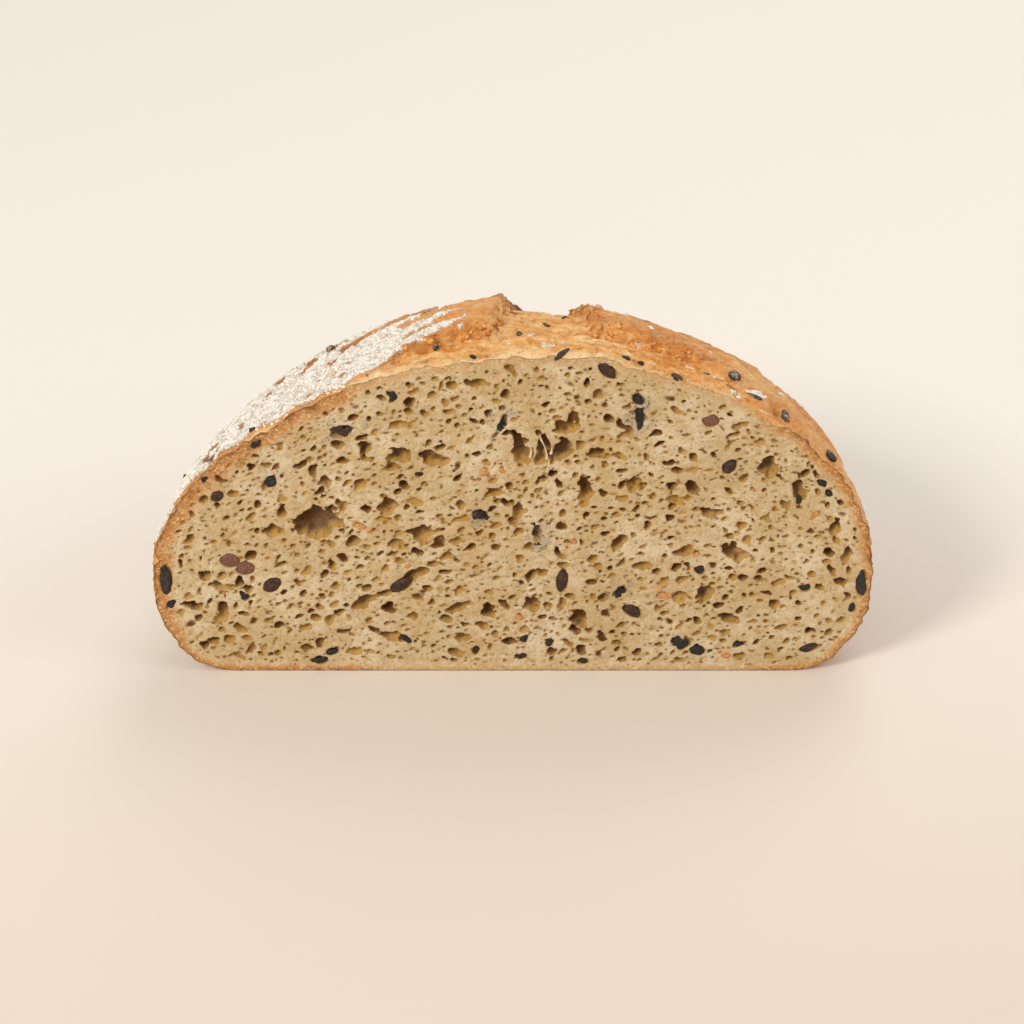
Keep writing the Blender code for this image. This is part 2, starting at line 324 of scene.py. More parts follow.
@dataclass(frozen=True)
class BreadColours:
    """Colours of the loaf, as a screen shows them."""

    crumb_light: tuple = linear(232, 212, 178)
    crumb: tuple = linear(212, 185, 142)
    crumb_olive: tuple = linear(200, 168, 116)
    # Painted shade: the holes' colours stand for the shade inside them and the light glowing through the thin
    # crumb; deeper holes get the darker ones.
    pore_shade: tuple = linear(152, 96, 14)
    deep_pore_shade: tuple = linear(90, 48, 4)
    shallow_pore: tuple = linear(190, 144, 54)
    warm_fleck: tuple = linear(216, 154, 92)
    stain: tuple = linear(136, 130, 120)
    speck: tuple = linear(48, 44, 42)
    cut_crust: tuple = linear(220, 132, 56)
    cut_light: tuple = linear(246, 196, 130)
    cut_edge: tuple = linear(150, 86, 42)
    golden: tuple = linear(228, 152, 74)
    pale_golden: tuple = linear(244, 194, 126)
    ridge_light: tuple = linear(252, 220, 168)
    amber: tuple = linear(196, 122, 54)
    brown: tuple = linear(160, 98, 48)
    red_brown: tuple = linear(128, 70, 38)
    dark_brown: tuple = linear(92, 54, 32)
    flour: tuple = linear(255, 249, 238)
    dusty: tuple = linear(218, 196, 168)
    # Painted shade: the brown of the torn wall that the ear above it shades.
    ear_wall_shade: tuple = linear(150, 106, 70)


@dataclass
class LoafForm:
    """The loaf's shape in millimetres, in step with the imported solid.

    The crown is at x = y = 0. An azimuth turns about the loaf's axis, and a share runs from 0 at the crown
    to 1 at the edge of the flat base.
    """

    radius: float
    height: float
    belly_height: float = 27.0
    base_radius: float = 77.0
    belly_share: float = 0.78
    shoulder_power: float = 2.0
    shoulder_lean: float = 0.13
    long_slash_x: float = 10.0
    long_slash_left: tuple = (54.0, 1.6)
    long_slash_right: tuple = (60.0, 3.0)
    long_slash_width: float = 25.0
    cross_slash_x: float = 9.0
    cross_slash_reach: float = 88.0
    cross_slash_half_width: float = 14.0
    slash_depth: float = 2.6
    slash_step: float = 2.0
    ear_height: float = 3.0
    lip_height: float = 1.8
    lip_width: float = 9.0
    ring_pitch: float = 9.5
    base_fade: float = 5.0

    @classmethod
    def from_frame(cls) -> "LoafForm":
        """Reads the loaf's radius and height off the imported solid."""
        low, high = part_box(SOLID)
        relief_share = 0.985
        return cls(radius=(high[0] - low[0]) / 2 / MM, height=(high[2] - low[2]) / MM * relief_share)

    def smooth(self, azimuth: Array, share: Array) -> tuple[Array, Array]:
        """Points of the smooth loaf and the outward directions there.

        Args:
            azimuth: Angles about the loaf's axis in radians.
            share: Shares of the way from the crown to the base edge.

        Returns:
            The points in millimetres and the outward unit vectors.
        """
        upper = math.pi / 2 * (1 - share / self.belly_share)
        lower = -math.pi / 2 * (share - self.belly_share) / (1 - self.belly_share)
        angle = np.where(share < self.belly_share, upper, lower)
        cosine = np.maximum(np.cos(angle), 0.0)
        sine = np.sin(angle)
        power = 2 / (self.shoulder_power + self.shoulder_lean * np.cos(azimuth))
        rise = self.height - self.belly_height
        tuck = self.radius - self.base_radius
        high = angle >= 0
        radius = np.where(high, self.radius * cosine**power, self.base_radius + tuck * cosine)
        up = np.maximum(sine, 0.0) ** power
        z = np.where(high, self.belly_height + rise * up, self.belly_height * (1 + sine))
        across = np.where(high, radius / self.radius**2, cosine / tuck)
        outward_z = np.where(high, (z - self.belly_height) / rise**2, sine / self.belly_height)
        side = np.stack([np.cos(azimuth), np.sin(azimuth)], axis=1)
        points = np.column_stack([side * radius[:, None], z])
        outward = np.column_stack([side * across[:, None], outward_z])
        return points, outward / np.linalg.norm(outward, axis=1)[:, None]

    def slash_distance(self, points: Array) -> Array:
        """Distance in plan from the nearest slash: negative inside it, positive on the petals."""
        wobble = 1.5 * noise_at(points, 12.0, 3.0)
        from_middle = points[:, 0] - self.long_slash_x
        left = np.clip(-from_middle / self.long_slash_left[0], 0, 1) ** self.long_slash_left[1]
        right = np.clip(from_middle / self.long_slash_right[0], 0, 1) ** self.long_slash_right[1]
        along = points[:, 1] - self.long_slash_width * (1 - left - right)
        far = np.clip(points[:, 1] / self.cross_slash_reach, 0, 1)
        half_width = self.cross_slash_half_width * np.sqrt(1 - far**2.4)
        across = np.abs(points[:, 0] - self.cross_slash_x) - half_width
        return np.minimum(along, across) + wobble


@dataclass
class Sheet:
    """A grid over half a disc, from which the crust and the cut face are formed."""

    across: int
    back: int
    _grid: tuple = field(init=False, repr=False)

    def __post_init__(self) -> None:
        """Maps the grid's corners to an azimuth and a share of the way out."""
        u, v = np.meshgrid(np.linspace(-1, 1, self.across + 1), np.linspace(0, 1, self.back + 1))
        x = (u * np.sqrt(1 - v * v / 2)).ravel()
        y = (v * np.sqrt(1 - u * u / 2)).ravel()
        self._grid = np.arctan2(y, x), np.clip(np.hypot(x, y), 0, 1)

    @property
    def azimuth(self) -> Array:
        """The azimuth of each corner, 0 to the right and half a turn to the left."""
        return self._grid[0]

    @property
    def share(self) -> Array:
        """How far out each corner lies, from 0 to 1."""
        return self._grid[1]

    def faces(self) -> Array:
        """The corner numbers of the grid's quads, all wound the same way."""
        row = self.across + 1
        first = (np.arange(self.back)[:, None] * row + np.arange(self.across)[None, :]).ravel()
        return np.stack([first, first + 1, first + row + 1, first + row], axis=1)

    def front_row(self) -> list[int]:
        """The corners along the half disc's straight side, from left to right."""
        return list(range(self.across + 1))

    def round_side(self) -> list[int]:
        """The corners round the half disc's curved side, from right to left."""
        row = self.across + 1
        right = [index * row + self.across for index in range(self.back + 1)]
        top = [self.back * row + index for index in range(self.across - 1, -1, -1)]
        left = [index * row for index in range(self.back - 1, -1, -1)]
        return right + top + left


def add_object(name: str, data: bpy.types.ID) -> bpy.types.Object:
    """Adds an object to the scene: a mesh, a curve, a light or the camera."""
    made = bpy.data.objects.new(name, data)
    bpy.context.scene.collection.objects.link(made)
    return made


def new_piece(name: str, points: Array, faces: list, material: bpy.types.Material,
              values: dict[str, Array]) -> bpy.types.Object:
    """Makes a closed piece with its place in its mesh and its faces outwards.

    Args:
        name: The piece's name.
        points: Its corners in millimetres, in the loaf's own coordinates.
        faces: Lists of corner numbers.
        material: Its finish.
        values: Values that its shader reads, by name: one for each of the first corners, and 0 for the rest.

    Returns:
        The linked object.
    """
    mesh = bpy.data.meshes.new(name)
    mesh.from_pydata(to_frame(points), [], faces)
    mesh.polygons.foreach_set("use_smooth", [True] * len(mesh.polygons))
    for label, numbers in values.items():
        full = np.zeros(len(points), dtype=np.float32)
        full[:len(numbers)] = numbers
        mesh.attributes.new(label, "FLOAT", "POINT").data.foreach_set("value", full)
    mesh.materials.append(material)
    mesh.validate()
    mesh.set_sharp_from_angle(angle=SHARP_ANGLE)
    bm = bmesh.new()
    bm.from_mesh(mesh)
    bmesh.ops.recalc_face_normals(bm, faces=bm.faces)
    bm.to_mesh(mesh)
    bm.free()
    return add_object(name, mesh)


def to_frame(points: Array) -> Array:
    """Moves points from the loaf's own millimetres to the frame's metres."""
    return points * MM + np.array([0.0, CUT_Y, 0.0])


def upright(flat: Array, depth: float = 0.0) -> Array:
    """Stands (x, z) points up at a depth behind the cut."""
    return np.column_stack([flat[:, 0], np.full(len(flat), depth), flat[:, 1]])


def inset(loop: Array, distance: float) -> Array:
    """Moves a closed loop of (x, z) points inwards.

    Args:
        loop: The loop's points, clockwise or anticlockwise.
        distance: How far in, in millimetres.

    Returns:
        The moved points.
    """
    along = np.roll(loop, -1, axis=0) - np.roll(loop, 1, axis=0)
    sideways = np.stack([-along[:, 1], along[:, 0]], axis=1)
    sideways /= np.linalg.norm(sideways, axis=1)[:, None]
    inward = np.sign(np.sum(sideways * (loop.mean(axis=0) - loop), axis=1))[:, None]
    return loop + sideways * inward * distance


def drawn_in(loop: Array, distance: float) -> Array:
    """Shrinks a loop of (x, z) points that stands on z = 0, evenly, so that it can't cross itself.

    Args:
        loop: The loop's points.
        distance: How far its sides, top and bottom move in, in millimetres.

    Returns:
        The moved points.
    """
    half_width, height = np.abs(loop[:, 0]).max(), loop[:, 1].max()
    x = loop[:, 0] * (1 - distance / half_width)
    z = distance + loop[:, 1] * (1 - 2 * distance / height)
    return np.stack([x, z], axis=1)


def bridge(first: list[int], second: list[int]) -> list[list[int]]:
    """Joins two loops of equally many corners with quads."""
    count = len(first)
    pairs = [(index, (index + 1) % count) for index in range(count)]
    return [[first[a], first[b], second[b], second[a]] for a, b in pairs]


def add_rings(points: Array, rings: tuple) -> tuple[Array, list[list[int]]]:
    """Adds rings of corners behind the cut to a piece's points.

    Args:
        points: The points so far.
        rings: Pairs of a ring's (x, z) points and its depth in millimetres.

    Returns:
        All points, and the corner numbers of each ring.
    """
    numbers = []
    for ring, depth in rings:
        numbers.append(list(range(len(points), len(points) + len(ring))))
        points = np.concatenate([points, upright(ring, depth)])
    return points, numbers


@dataclass
class CutOutline:
    """The outline of the cut: a loop of (x, z) points over the crown and back along the base."""

    loop: Array
    over_count: int

    def tree(self) -> KDTree:
        """A search tree over the loop, as points (x, z, 0)."""
        tree = KDTree(len(self.loop))
        for index, (x, z) in enumerate(self.loop):
            tree.insert((x, z, 0), index)
        tree.balance()
        return tree

    def pulled_in(self, x: float, z: float, margin: float) -> tuple[float, float]:
        """Moves a place towards the middle of the cut until it lies inside the outline.

        Args:
            x: Its place across in millimetres.
            z: Its height in millimetres.
            margin: How far inside it has to be, in millimetres.

        Returns:
            The new x and z.
        """
        angles, radii = self.radii(margin)
        reach = float(np.interp(math.atan2(z, x), angles, radii))
        share = min(1.0, reach / math.hypot(x, z))
        return x * share, max(z * share, margin)

    def radii(self, inward: float = 0.0) -> tuple[Array, Array]:
        """The outline over the crown, seen from the middle of the base.

        Args:
            inward: How far the outline is moved in first, in millimetres.

        Returns:
            Angles in rising order, and the distance at each.
        """
        over = (inset(self.loop, inward) if inward else self.loop)[:self.over_count]
        over = over[::-1]
        angles = np.arctan2(np.maximum(over[:, 1], 0), over[:, 0])
        return angles, np.hypot(over[:, 0], over[:, 1])


class CrustFinish(Finish):
    """The crust's finish: amber to red-brown skin, golden torn bloom, and flour left by the basket."""

    def __init__(self, tones: BreadColours) -> None:
        """Makes the patterns that its layers share."""
        super().__init__("crust_finish")
        self.tones = tones
        self.torn = self.attribute("torn")
        self.by_cut = self.attribute("by_cut")
        self.broad = self.noise(24.0, detail=3.0)
        self.mottle = self.noise(5.0, detail=6.0, rough=0.68, bend=0.25)
        self.fine = self.noise(1.1, detail=5.0, rough=0.7)
        self.grit = self.noise(0.45, detail=2.0, rough=0.6)
        self.pits = self.cells(0.95, place=self.bent(1.0, 0.3))
        self.fibres = self.noise(2.0, detail=6.0, rough=0.68, place=self.stretched((0.6, 0.6, 1.4)))
        self.warmth = (self.fibres * 0.45 + self.broad * 0.4 + self.fine * 0.15).between(0.34, 0.62)

    def _skin(self) -> Socket:
        """The baked skin: mottled, dotted and dusted, scorched on the lips and golden near the cut."""
        tones, fine, mottle = self.tones, self.fine, self.mottle
        shade = (self.broad * 0.55 + mottle * 0.25 + fine * 0.2).between(0.36, 0.66)
        skin = self.ramp(shade, ((0.0, tones.red_brown), (0.3, tones.brown), (0.62, tones.amber),
                                 (1.0, tones.golden)))
        dots = 1 - self.cells(1.3, place=self.bent(1.2, 0.5)).between(0.1, 0.26)
        veil = self.noise(16.0, detail=5.0, rough=0.65).between(0.5, 0.66) * (0.4 + 0.6 * fine)
        young = self.attribute("golden") * (0.65 + 1.2 * (mottle - 0.5)).between(0.1, 0.65)
        front_tones = ((0.0, tones.amber), (0.45, tones.golden), (1.0, tones.pale_golden))
        return self.coated(
            skin,
            # Painted shade: darker red-brown in the middle of the fine pits.
            ((1 - self.pits.between(0.05, 0.3)) * 0.35, tones.red_brown),
            (dots * mottle.between(0.4, 0.6) * 0.7, tones.pale_golden),
            (self.grit.between(0.55, 0.75) * 0.4, tones.golden),
            (veil * 0.4, tones.dusty),
            (self.attribute("scorch") * mottle.between(0.34, 0.5) * 0.85, tones.dark_brown),
            (young * 0.9, self.ramp(self.warmth, front_tones)))

    def _bloom(self) -> Socket:
        """The torn bloom in the slashes: golden and fibrous, with painted shade darkening its hollows, its
        pits and the wall under the ear.
        """
        tones = self.tones
        bloom = self.ramp(self.warmth, ((0.0, tones.amber), (0.3, tones.golden), (0.7, tones.pale_golden),
                                        (1.0, tones.ridge_light)))
        shaded_torn_wall = self.mix(self.fine.between(0.35, 0.65), tones.dark_brown, tones.ear_wall_shade)
        layers = self.noise(2.4, detail=4.0, rough=0.6, place=self.stretched((0.25, 0.8, 1.6)))
        return self.coated(
            bloom,
            # Painted shade: the low parts of the torn bloom are drawn darker amber.
            (self.attribute("hollow_shade") * self.fibres.between(0.35, 0.6) * 0.5, tones.amber),
            # Painted shade: darker amber in the middle of the fine pits.
            ((1 - self.pits.between(0.05, 0.26)) * 0.25, tones.amber),
            # Painted shade: the wall under the ear is drawn dark, over the crust's own brown.
            (self.attribute("wall") * 0.85, shaded_torn_wall),
            (layers.between(0.52, 0.62) * 0.55, tones.amber))

    def _baked(self) -> Socket:
        """Skin and bloom together: darker brown in the pits as painted shade, crumbly by the cut and paler at
        the foot.
        """
        tones = self.tones
        pit_shade_brown = self.mix(self.fine.between(0.4, 0.6), tones.brown, tones.amber)
        crumbly = self.mix(self.grit.between(0.4, 0.6), tones.cut_crust, tones.pale_golden)
        crumbly = self.mix(self.torn * self.broad.between(0.35, 0.6), crumbly, tones.ridge_light)
        return self.coated(
            self._skin(),
            (self.torn, self._bloom()),
            # Painted shade: the golden zone's cavities are drawn brown.
            (self.attribute("pit_shade") * 0.75, pit_shade_brown),
            (self.by_cut * 0.75, crumbly),
            (self.attribute("under") * 0.7, tones.cut_crust))

    def dressed(self) -> bpy.types.Material:
        """Lays caked and dusted flour over the baked crust and feeds the shader.

        Returns:
            The finished material.
        """
        tones, fine, grit, torn = self.tones, self.fine, self.grit, self.torn
        lump = self.attribute("lump")
        crack = self.cells(1.7, "DISTANCE_TO_EDGE", self.bent(1.6, 0.5))
        thick = self.attribute("flour") * (1 - self.by_cut)
        caked = thick * 1.2 + (lump - 0.5) * 0.7 - 0.6 * fine - 0.45 * (1 - crack.between(0.0, 0.12))
        flour = (caked + 0.35 * grit).between(0.26, 0.42)
        dust = (thick * 0.7 + fine * 0.5).between(0.4, 0.8) * 0.6
        specks = 1 - self.cells(1.5, place=self.bent(0.8, 0.3)).between(0.12, 0.2)
        specks = specks * (self.broad + thick * 0.3).between(0.4, 0.6) * (1 - torn * 0.6)
        streaks = self.noise(5.0, detail=5.0, rough=0.7, place=self.stretched((0.5, 1, 1)))
        streaks = torn * streaks.between(0.6, 0.68) * fine.between(0.35, 0.5)
        lit = grit.between(0.2, 0.42) * (0.6 + 0.4 * lump.between(0.0, 0.4))
        colour = self.coated(
            self._baked(),
            (dust * (1 - torn), tones.dusty),
            (flour.most(specks * 0.85).most(streaks * 0.8), self.mix(lit, tones.dusty, tones.flour)))
        bubbles = 1 - self.cells(3.0, place=self.bent(3.0, 1.0)).between(0.0, 0.5)
        height = fine * 0.6 + grit * 0.25 + flour * 0.45 + bubbles * 0.3 + self.pits.between(0.0, 0.4) * 0.35
        rough = 0.5 + 0.42 * flour.most(torn)
        return self.finish(colour, rough, height, 1.0, translucent(0.35, 0.04, (1.0, 0.5, 0.25), 1.0))


@dataclass
class Crust:
    """The baked crust: the domed outside with its slashes, the base, and a recess that the crumb fills."""

    form: LoafForm
    colours: BreadColours
    sheet: Sheet = field(default_factory=lambda: Sheet(across=430, back=215))
    rim_width: float = 0.8
    recess_depth: float = 7.4
    recess_inset: float = 6.0
    bottom_steps: int = 120
    swell: float = 1.6
    ring_rise: float = 0.5
    blister_rise: float = 0.34
    torn_rise: float = 1.3
    layer_rise: float = 0.35
    flour_rise: float = 0.55
    flap_rise: float = 0.6
    pit_depth: float = 1.1
    fray: float = 0.8
    fray_rise: float = 0.9
    cut_crumble: float = 0.35
    golden_reach: float = 64.0
    golden_left: float = -36.0
    golden_foot: float = 30.0
    scorch_start: float = 60.0
    wall_left: float = -60.0
    under_height: float = 8.0
    by_cut_width: float = 3.6
    FLOUR_SPOTS = ((9.0, 8.5, 3.2), (27.4, 18.0, 1.4), (60.0, 6.0, 2.6), (65.5, 10.0, 3.0),
                   (-14.0, 20.0, 1.6), (38.0, 34.0, 1.8), (-30.0, 12.0, 2.2))

    def build(self) -> bpy.types.Object:
        """Forms and dresses the crust, and keeps the cut's outline.

        Returns:
            The closed piece.
        """
        sheet = self.sheet
        smooth, outward = self.form.smooth(sheet.azimuth, sheet.share)
        values, relief = self._relief(smooth, sheet.share)
        points = smooth + outward * relief[:, None]
        front, round_side = sheet.front_row(), sheet.round_side()
        points[front, 1] = 0.0
        points[round_side, 2] = 0.0
        points[:, 2] = np.maximum(points[:, 2], 0.0)
        over = points[front][:, [0, 2]]
        bottom = np.linspace(over[-1], over[0], self.bottom_steps + 1)[1:-1]
        self.outline = CutOutline(np.concatenate([over, bottom]), len(front))
        points, faces = self._close(points, sheet.faces().tolist(), front, round_side)
        return new_piece("crust", points, faces, CrustFinish(self.colours).dressed(), values)

    def _close(self, points: Array, faces: list, front: list, round_side: list) -> tuple[Array, list]:
        """Adds the base, the rim round the cut and the recess behind the crumb."""
        outline = self.outline.loop
        rings = ((outline[len(front):], 0.0), (inset(outline, self.rim_width), 0.0),
                 (drawn_in(outline, self.recess_inset), self.recess_depth))
        points, (bottom, rim, deep) = add_rings(points, rings)
        faces += bridge(front + bottom, rim) + bridge(rim, deep)
        faces += [deep, round_side + bottom[::-1]]
        return points, faces

    def _relief(self, points: Array, share: Array) -> tuple[dict[str, Array], Array]:
        """How far the crust stands out from the smooth loaf, and the masks that its finish reads.

        Args:
            points: Points of the smooth loaf in millimetres.
            share: Shares of the way from the crown to the base edge.

        Returns:
            The masks by name, and the relief in millimetres.
        """
        form = self.form
        x, y, z = points.T
        distance = form.slash_distance(points)
        ragged = distance + self.fray * layered_noise(points, 5.0, 3, 11.0)
        inside = smooth_step(0.5 - ragged / form.slash_step)
        on_top = 1 - smooth_step((y - form.cross_slash_reach) / form.lip_width + 1)
        left = x < form.cross_slash_x
        near_cut = smooth_step(y / form.long_slash_width)
        edge = np.exp(-(ragged / 2.2) ** 2) * on_top * smooth_step(y / 6.0)
        masks = self._flour(points, smooth_step(ragged / 2.5))
        masks["torn"] = inside * np.where(share < 0.75, 1.0, 0.0)
        torn = self._torn(points)
        ear = np.where(left, form.ear_height, form.lip_height)
        skin = ear * on_top * near_cut * np.exp(-np.maximum(distance, 0) / form.lip_width)
        blister = blisters_at(points, 3.0, 5.0) * smooth_step(0.5 + 1.5 * noise_at(points, 13.0, 6.0))
        fine = layered_noise(points, 2.0, 2, 9.0)
        skin += self.ring_rise * (2 * masks.pop("ridge") - 1) + self.blister_rise * blister
        skin += self.flour_rise * masks["flour"] * (0.1 + 1.3 * masks["lump"] + 0.4 * fine)
        skin += 0.16 * fine * (1 - masks["flour"])
        relief = self.swell * noise_at(points, 46.0, 7.0) + 0.45 * noise_at(points, 15.0, 1.0)
        relief += inside * (torn - form.slash_depth * near_cut) + (1 - inside) * skin
        relief += self.fray_rise * edge * np.maximum(layered_noise(points, 3.2, 2, 14.0), -0.25)
        relief += self.cut_crumble * np.exp(-y / 2.5) * layered_noise(points, 2.4, 2, 17.0)
        golden = smooth_step((self.golden_reach - y + 8.0 * fine) / 18.0)
        golden *= smooth_step((x - self.golden_left) / 18.0) * smooth_step((z - self.golden_foot) / 24.0)
        flaps = 0.5 - 1.7 * np.abs(layered_noise(points * np.array([0.5, 1.0, 1.0]), 6.5, 3, 19.0))
        pits = self._pits(points, 4.2)
        relief += golden * (self.flap_rise * flaps - self.pit_depth * pits)
        relief *= smooth_step(z / form.base_fade)
        # Painted shade: marks the wall under the ear, which the finish draws dark as if shaded by the lip.
        wall = np.exp(-((ragged + 1.4) / 1.7) ** 2) * on_top * smooth_step((y - form.long_slash_width) / 8.0)
        wall *= np.where(left, 1.0, 0.4) * np.where(x > self.wall_left, 1.0, 0.0)
        scorch = np.clip(edge * np.where(left, 1.2, 0.9), 0, 1)
        masks |= {
            "wall": wall * smooth_step((y - self.scorch_start - 2.0) / 12.0),
            "scorch": scorch * smooth_step((y - self.scorch_start) / 14.0),
            "golden": golden,
            # Painted shade: marks the low parts of the torn bloom, which the finish draws darker.
            "hollow_shade": smooth_step(0.3 - torn) * inside,
            # Painted shade: marks the golden zone's cavities, which the finish draws brown.
            "pit_shade": golden * pits,
            "flaky": np.clip(edge + 0.3 * golden * smooth_step(3 * noise_at(points, 14.0, 37.0)), 0, 1),
            "under": smooth_step((self.under_height - z) / self.under_height),
            "by_cut": smooth_step(1.15 - (y + 0.8 * fine) / self.by_cut_width),
        }
        return masks, relief

    def _flour(self, points: Array, petal: Array) -> dict[str, Array]:
        """Where the basket left its rings and its flour: caked on the ridges, broken into lumps.

        Args:
            points: Points of the smooth loaf in millimetres.
            petal: 1 out on the petals and 0 in the slashes.

        Returns:
            The rings' ridge, the flour and its lumps.
        """
        form = self.form
        x, y, z = points.T
        plan = np.hypot(x, y) + 3.0 * noise_at(points, 26.0, 4.0) + 0.9 * noise_at(points, 7.0, 5.0)
        ridge = 0.5 + 0.5 * np.sin(2 * math.pi * plan / form.ring_pitch)
        patches = noise_at(points, 30.0, 8.0) + 0.5 * noise_at(points, 12.0, 9.0)
        broken = layered_noise(points, 4.5, 3, 2.0)
        front_left = smooth_step((-x - 22.0) / 16.0) * smooth_step((58.0 - y) / 34.0)
        front_right = smooth_step((x + 20.0) / 16.0) * smooth_step((70.0 - y) / 18.0)
        high = smooth_step((z - 14.0) / 34.0)
        amount = 1.2 * ridge**2 + 0.8 * patches + 0.85 * broken - 0.62 + 0.2 * high
        amount += 1.3 * front_left - 1.2 * front_right
        flour = smooth_step(amount / 0.5) * petal * np.maximum(0.2 + 0.8 * high, front_left)
        for spot_x, spot_y, size in self.FLOUR_SPOTS:
            near = np.exp(-((x - spot_x) ** 2 + 1.6 * (y - spot_y) ** 2) / size**2)
            flour = np.maximum(flour, smooth_step(1.7 * near + 0.6 * broken * near - 0.35))
        return {"ridge": ridge, "flour": flour, "lump": blisters_at(points, 2.5, 12.0)}

    def _torn(self, points: Array) -> Array:
        """The relief of the torn bloom in the slashes: fibres along each slash, flaking layers and pits."""
        along_cut = points * np.array([0.4, 1.0, 1.0])
        along_back = points * np.array([1.0, 0.45, 1.0])
        back = smooth_step((points[:, 1] - 18.0) / 10.0)
        fibres = (1 - back) * np.abs(layered_noise(along_cut, 5.0, 3, 5.0))
        fibres += back * np.abs(layered_noise(along_back, 7.0, 3, 5.0))
        level = 2.2 * (1 - back) * noise_at(along_cut, 6.0, 21.0)
        level += 2.2 * back * noise_at(along_back, 9.0, 21.0)
        layers = np.floor(level) + smooth_step((level - np.floor(level)) * 2.6)
        raised = self.torn_rise * (0.5 - 1.6 * fibres) + self.layer_rise * layers
        return raised - self._pits(points, 5.0)

    def _pits(self, points: Array, size: float) -> Array:
        """Small cavities of the given size, in some places only: 1 in them and 0 outside."""
        pits = smooth_step((blisters_at(points, size, 31.0) - 0.45) / 0.3)
        return pits * smooth_step(4 * noise_at(points, 3 * size, 33.0))


@dataclass(frozen=True)
class Hole:
    """An air hole or a seed's bed in the cut face: half its sizes and its depth in millimetres, its slant."""

    x: float
    z: float
    length: float
    width: float
    slant: float
    depth: float
    ragged: float = 0.35
    # How dark the hole is drawn; the painted shade of its upper-left side is laid over this.
    tone: float = 0.5


@dataclass(frozen=True)
class SeedPlace:
    """A seed in the cut face: its middle, half its length and width in millimetres, and its slant."""

    kind: SeedKind
    x: float
    z: float
    length: float
    width: float
    slant: float
    stain: float = 0.0


def between_cells(raster: Array, row: Array, column: Array, ease: bool = False) -> Array:
    """Reads a raster between its cells.

    Args:
        raster: Its values.
        row: Where to read, counted in rows.
        column: Where to read, counted in columns.
        ease: Whether values ease from cell to cell instead of running straight.

    Returns:
        The values there.
    """
    low, left = row.astype(int), column.astype(int)
    up, across = row - low, column - left
    if ease:
        up, across = smooth_step(up), smooth_step(across)
    below = raster[low, left] * (1 - across) + raster[low, left + 1] * across
    above = raster[low + 1, left] * (1 - across) + raster[low + 1, left + 1] * across
    return below * (1 - up) + above * up


def soft_field(shape: tuple[int, int], size: float, seed: int) -> Array:
    """Smooth seeded noise from about -1 to 1 on a raster.

    Args:
        shape: The raster's rows and columns.
        size: The size of the features in cells.
        seed: The seed of the draw.

    Returns:
        The noise, one value a cell.
    """
    row, column = np.arange(shape[0])[:, None] / size, np.arange(shape[1])[None, :] / size
    corners = int(row.max()) + 2, int(column.max()) + 2
    coarse = np.random.default_rng(seed + 100).uniform(-1, 1, corners)
    return between_cells(coarse, row, column, ease=True)


class FaceGrid:
    """A fine grid over the cut face, in rows of z and columns of x, on which warped ovals are stamped."""

    cell = 0.2
    margin = 2.0

    def __init__(self, form: LoafForm) -> None:
        """Lays out the cells and the two fields that warp the ovals."""
        half = form.radius + self.margin
        self.columns = np.arange(-half, half, self.cell)
        self.rows = np.arange(-self.margin, form.height + 2 * self.margin, self.cell)
        self.x, self.z = np.meshgrid(self.columns, self.rows)
        self.bend_x, self.bend_z = self._bend(1), self._bend(3)

    def _bend(self, seed: int) -> Array:
        """Noise of two sizes over the whole grid."""
        coarse, fine = (soft_field(self.x.shape, size / self.cell, seed + step)
                        for step, size in enumerate((2.4, 1.1)))
        return coarse + 0.5 * fine

    def window(self, hole: Hole) -> tuple[tuple[slice, slice], Array, Array]:
        """The grid's part round a hole, how far out of its warped oval each cell lies, and how lit it is."""
        reach = max(hole.length, hole.width) * 1.7 + 1.0
        left, right = np.searchsorted(self.columns, (hole.x - reach, hole.x + reach))
        low, high = np.searchsorted(self.rows, (hole.z - reach, hole.z + reach))
        window = slice(low, high), slice(left, right)
        warp = hole.ragged * min(hole.length, hole.width, 2.5) * 1.3
        across = self.x[window] - hole.x + warp * self.bend_x[window]
        up = self.z[window] - hole.z + warp * self.bend_z[window]
        slant = math.radians(hole.slant)
        along = across * math.cos(slant) + up * math.sin(slant)
        aside = up * math.cos(slant) - across * math.sin(slant)
        lit = np.clip((0.5 * across - 0.85 * up) / max(hole.length, hole.width), -1, 1)
        return window, np.abs(along / hole.length) ** 1.6 + np.abs(aside / hole.width) ** 1.8, lit

    def read(self, layer: Array, flat: Array) -> Array:
        """A layer's values at (x, z) points."""
        row = (flat[:, 1] - self.rows[0]) / self.cell
        return between_cells(layer, row, (flat[:, 0] - self.columns[0]) / self.cell)


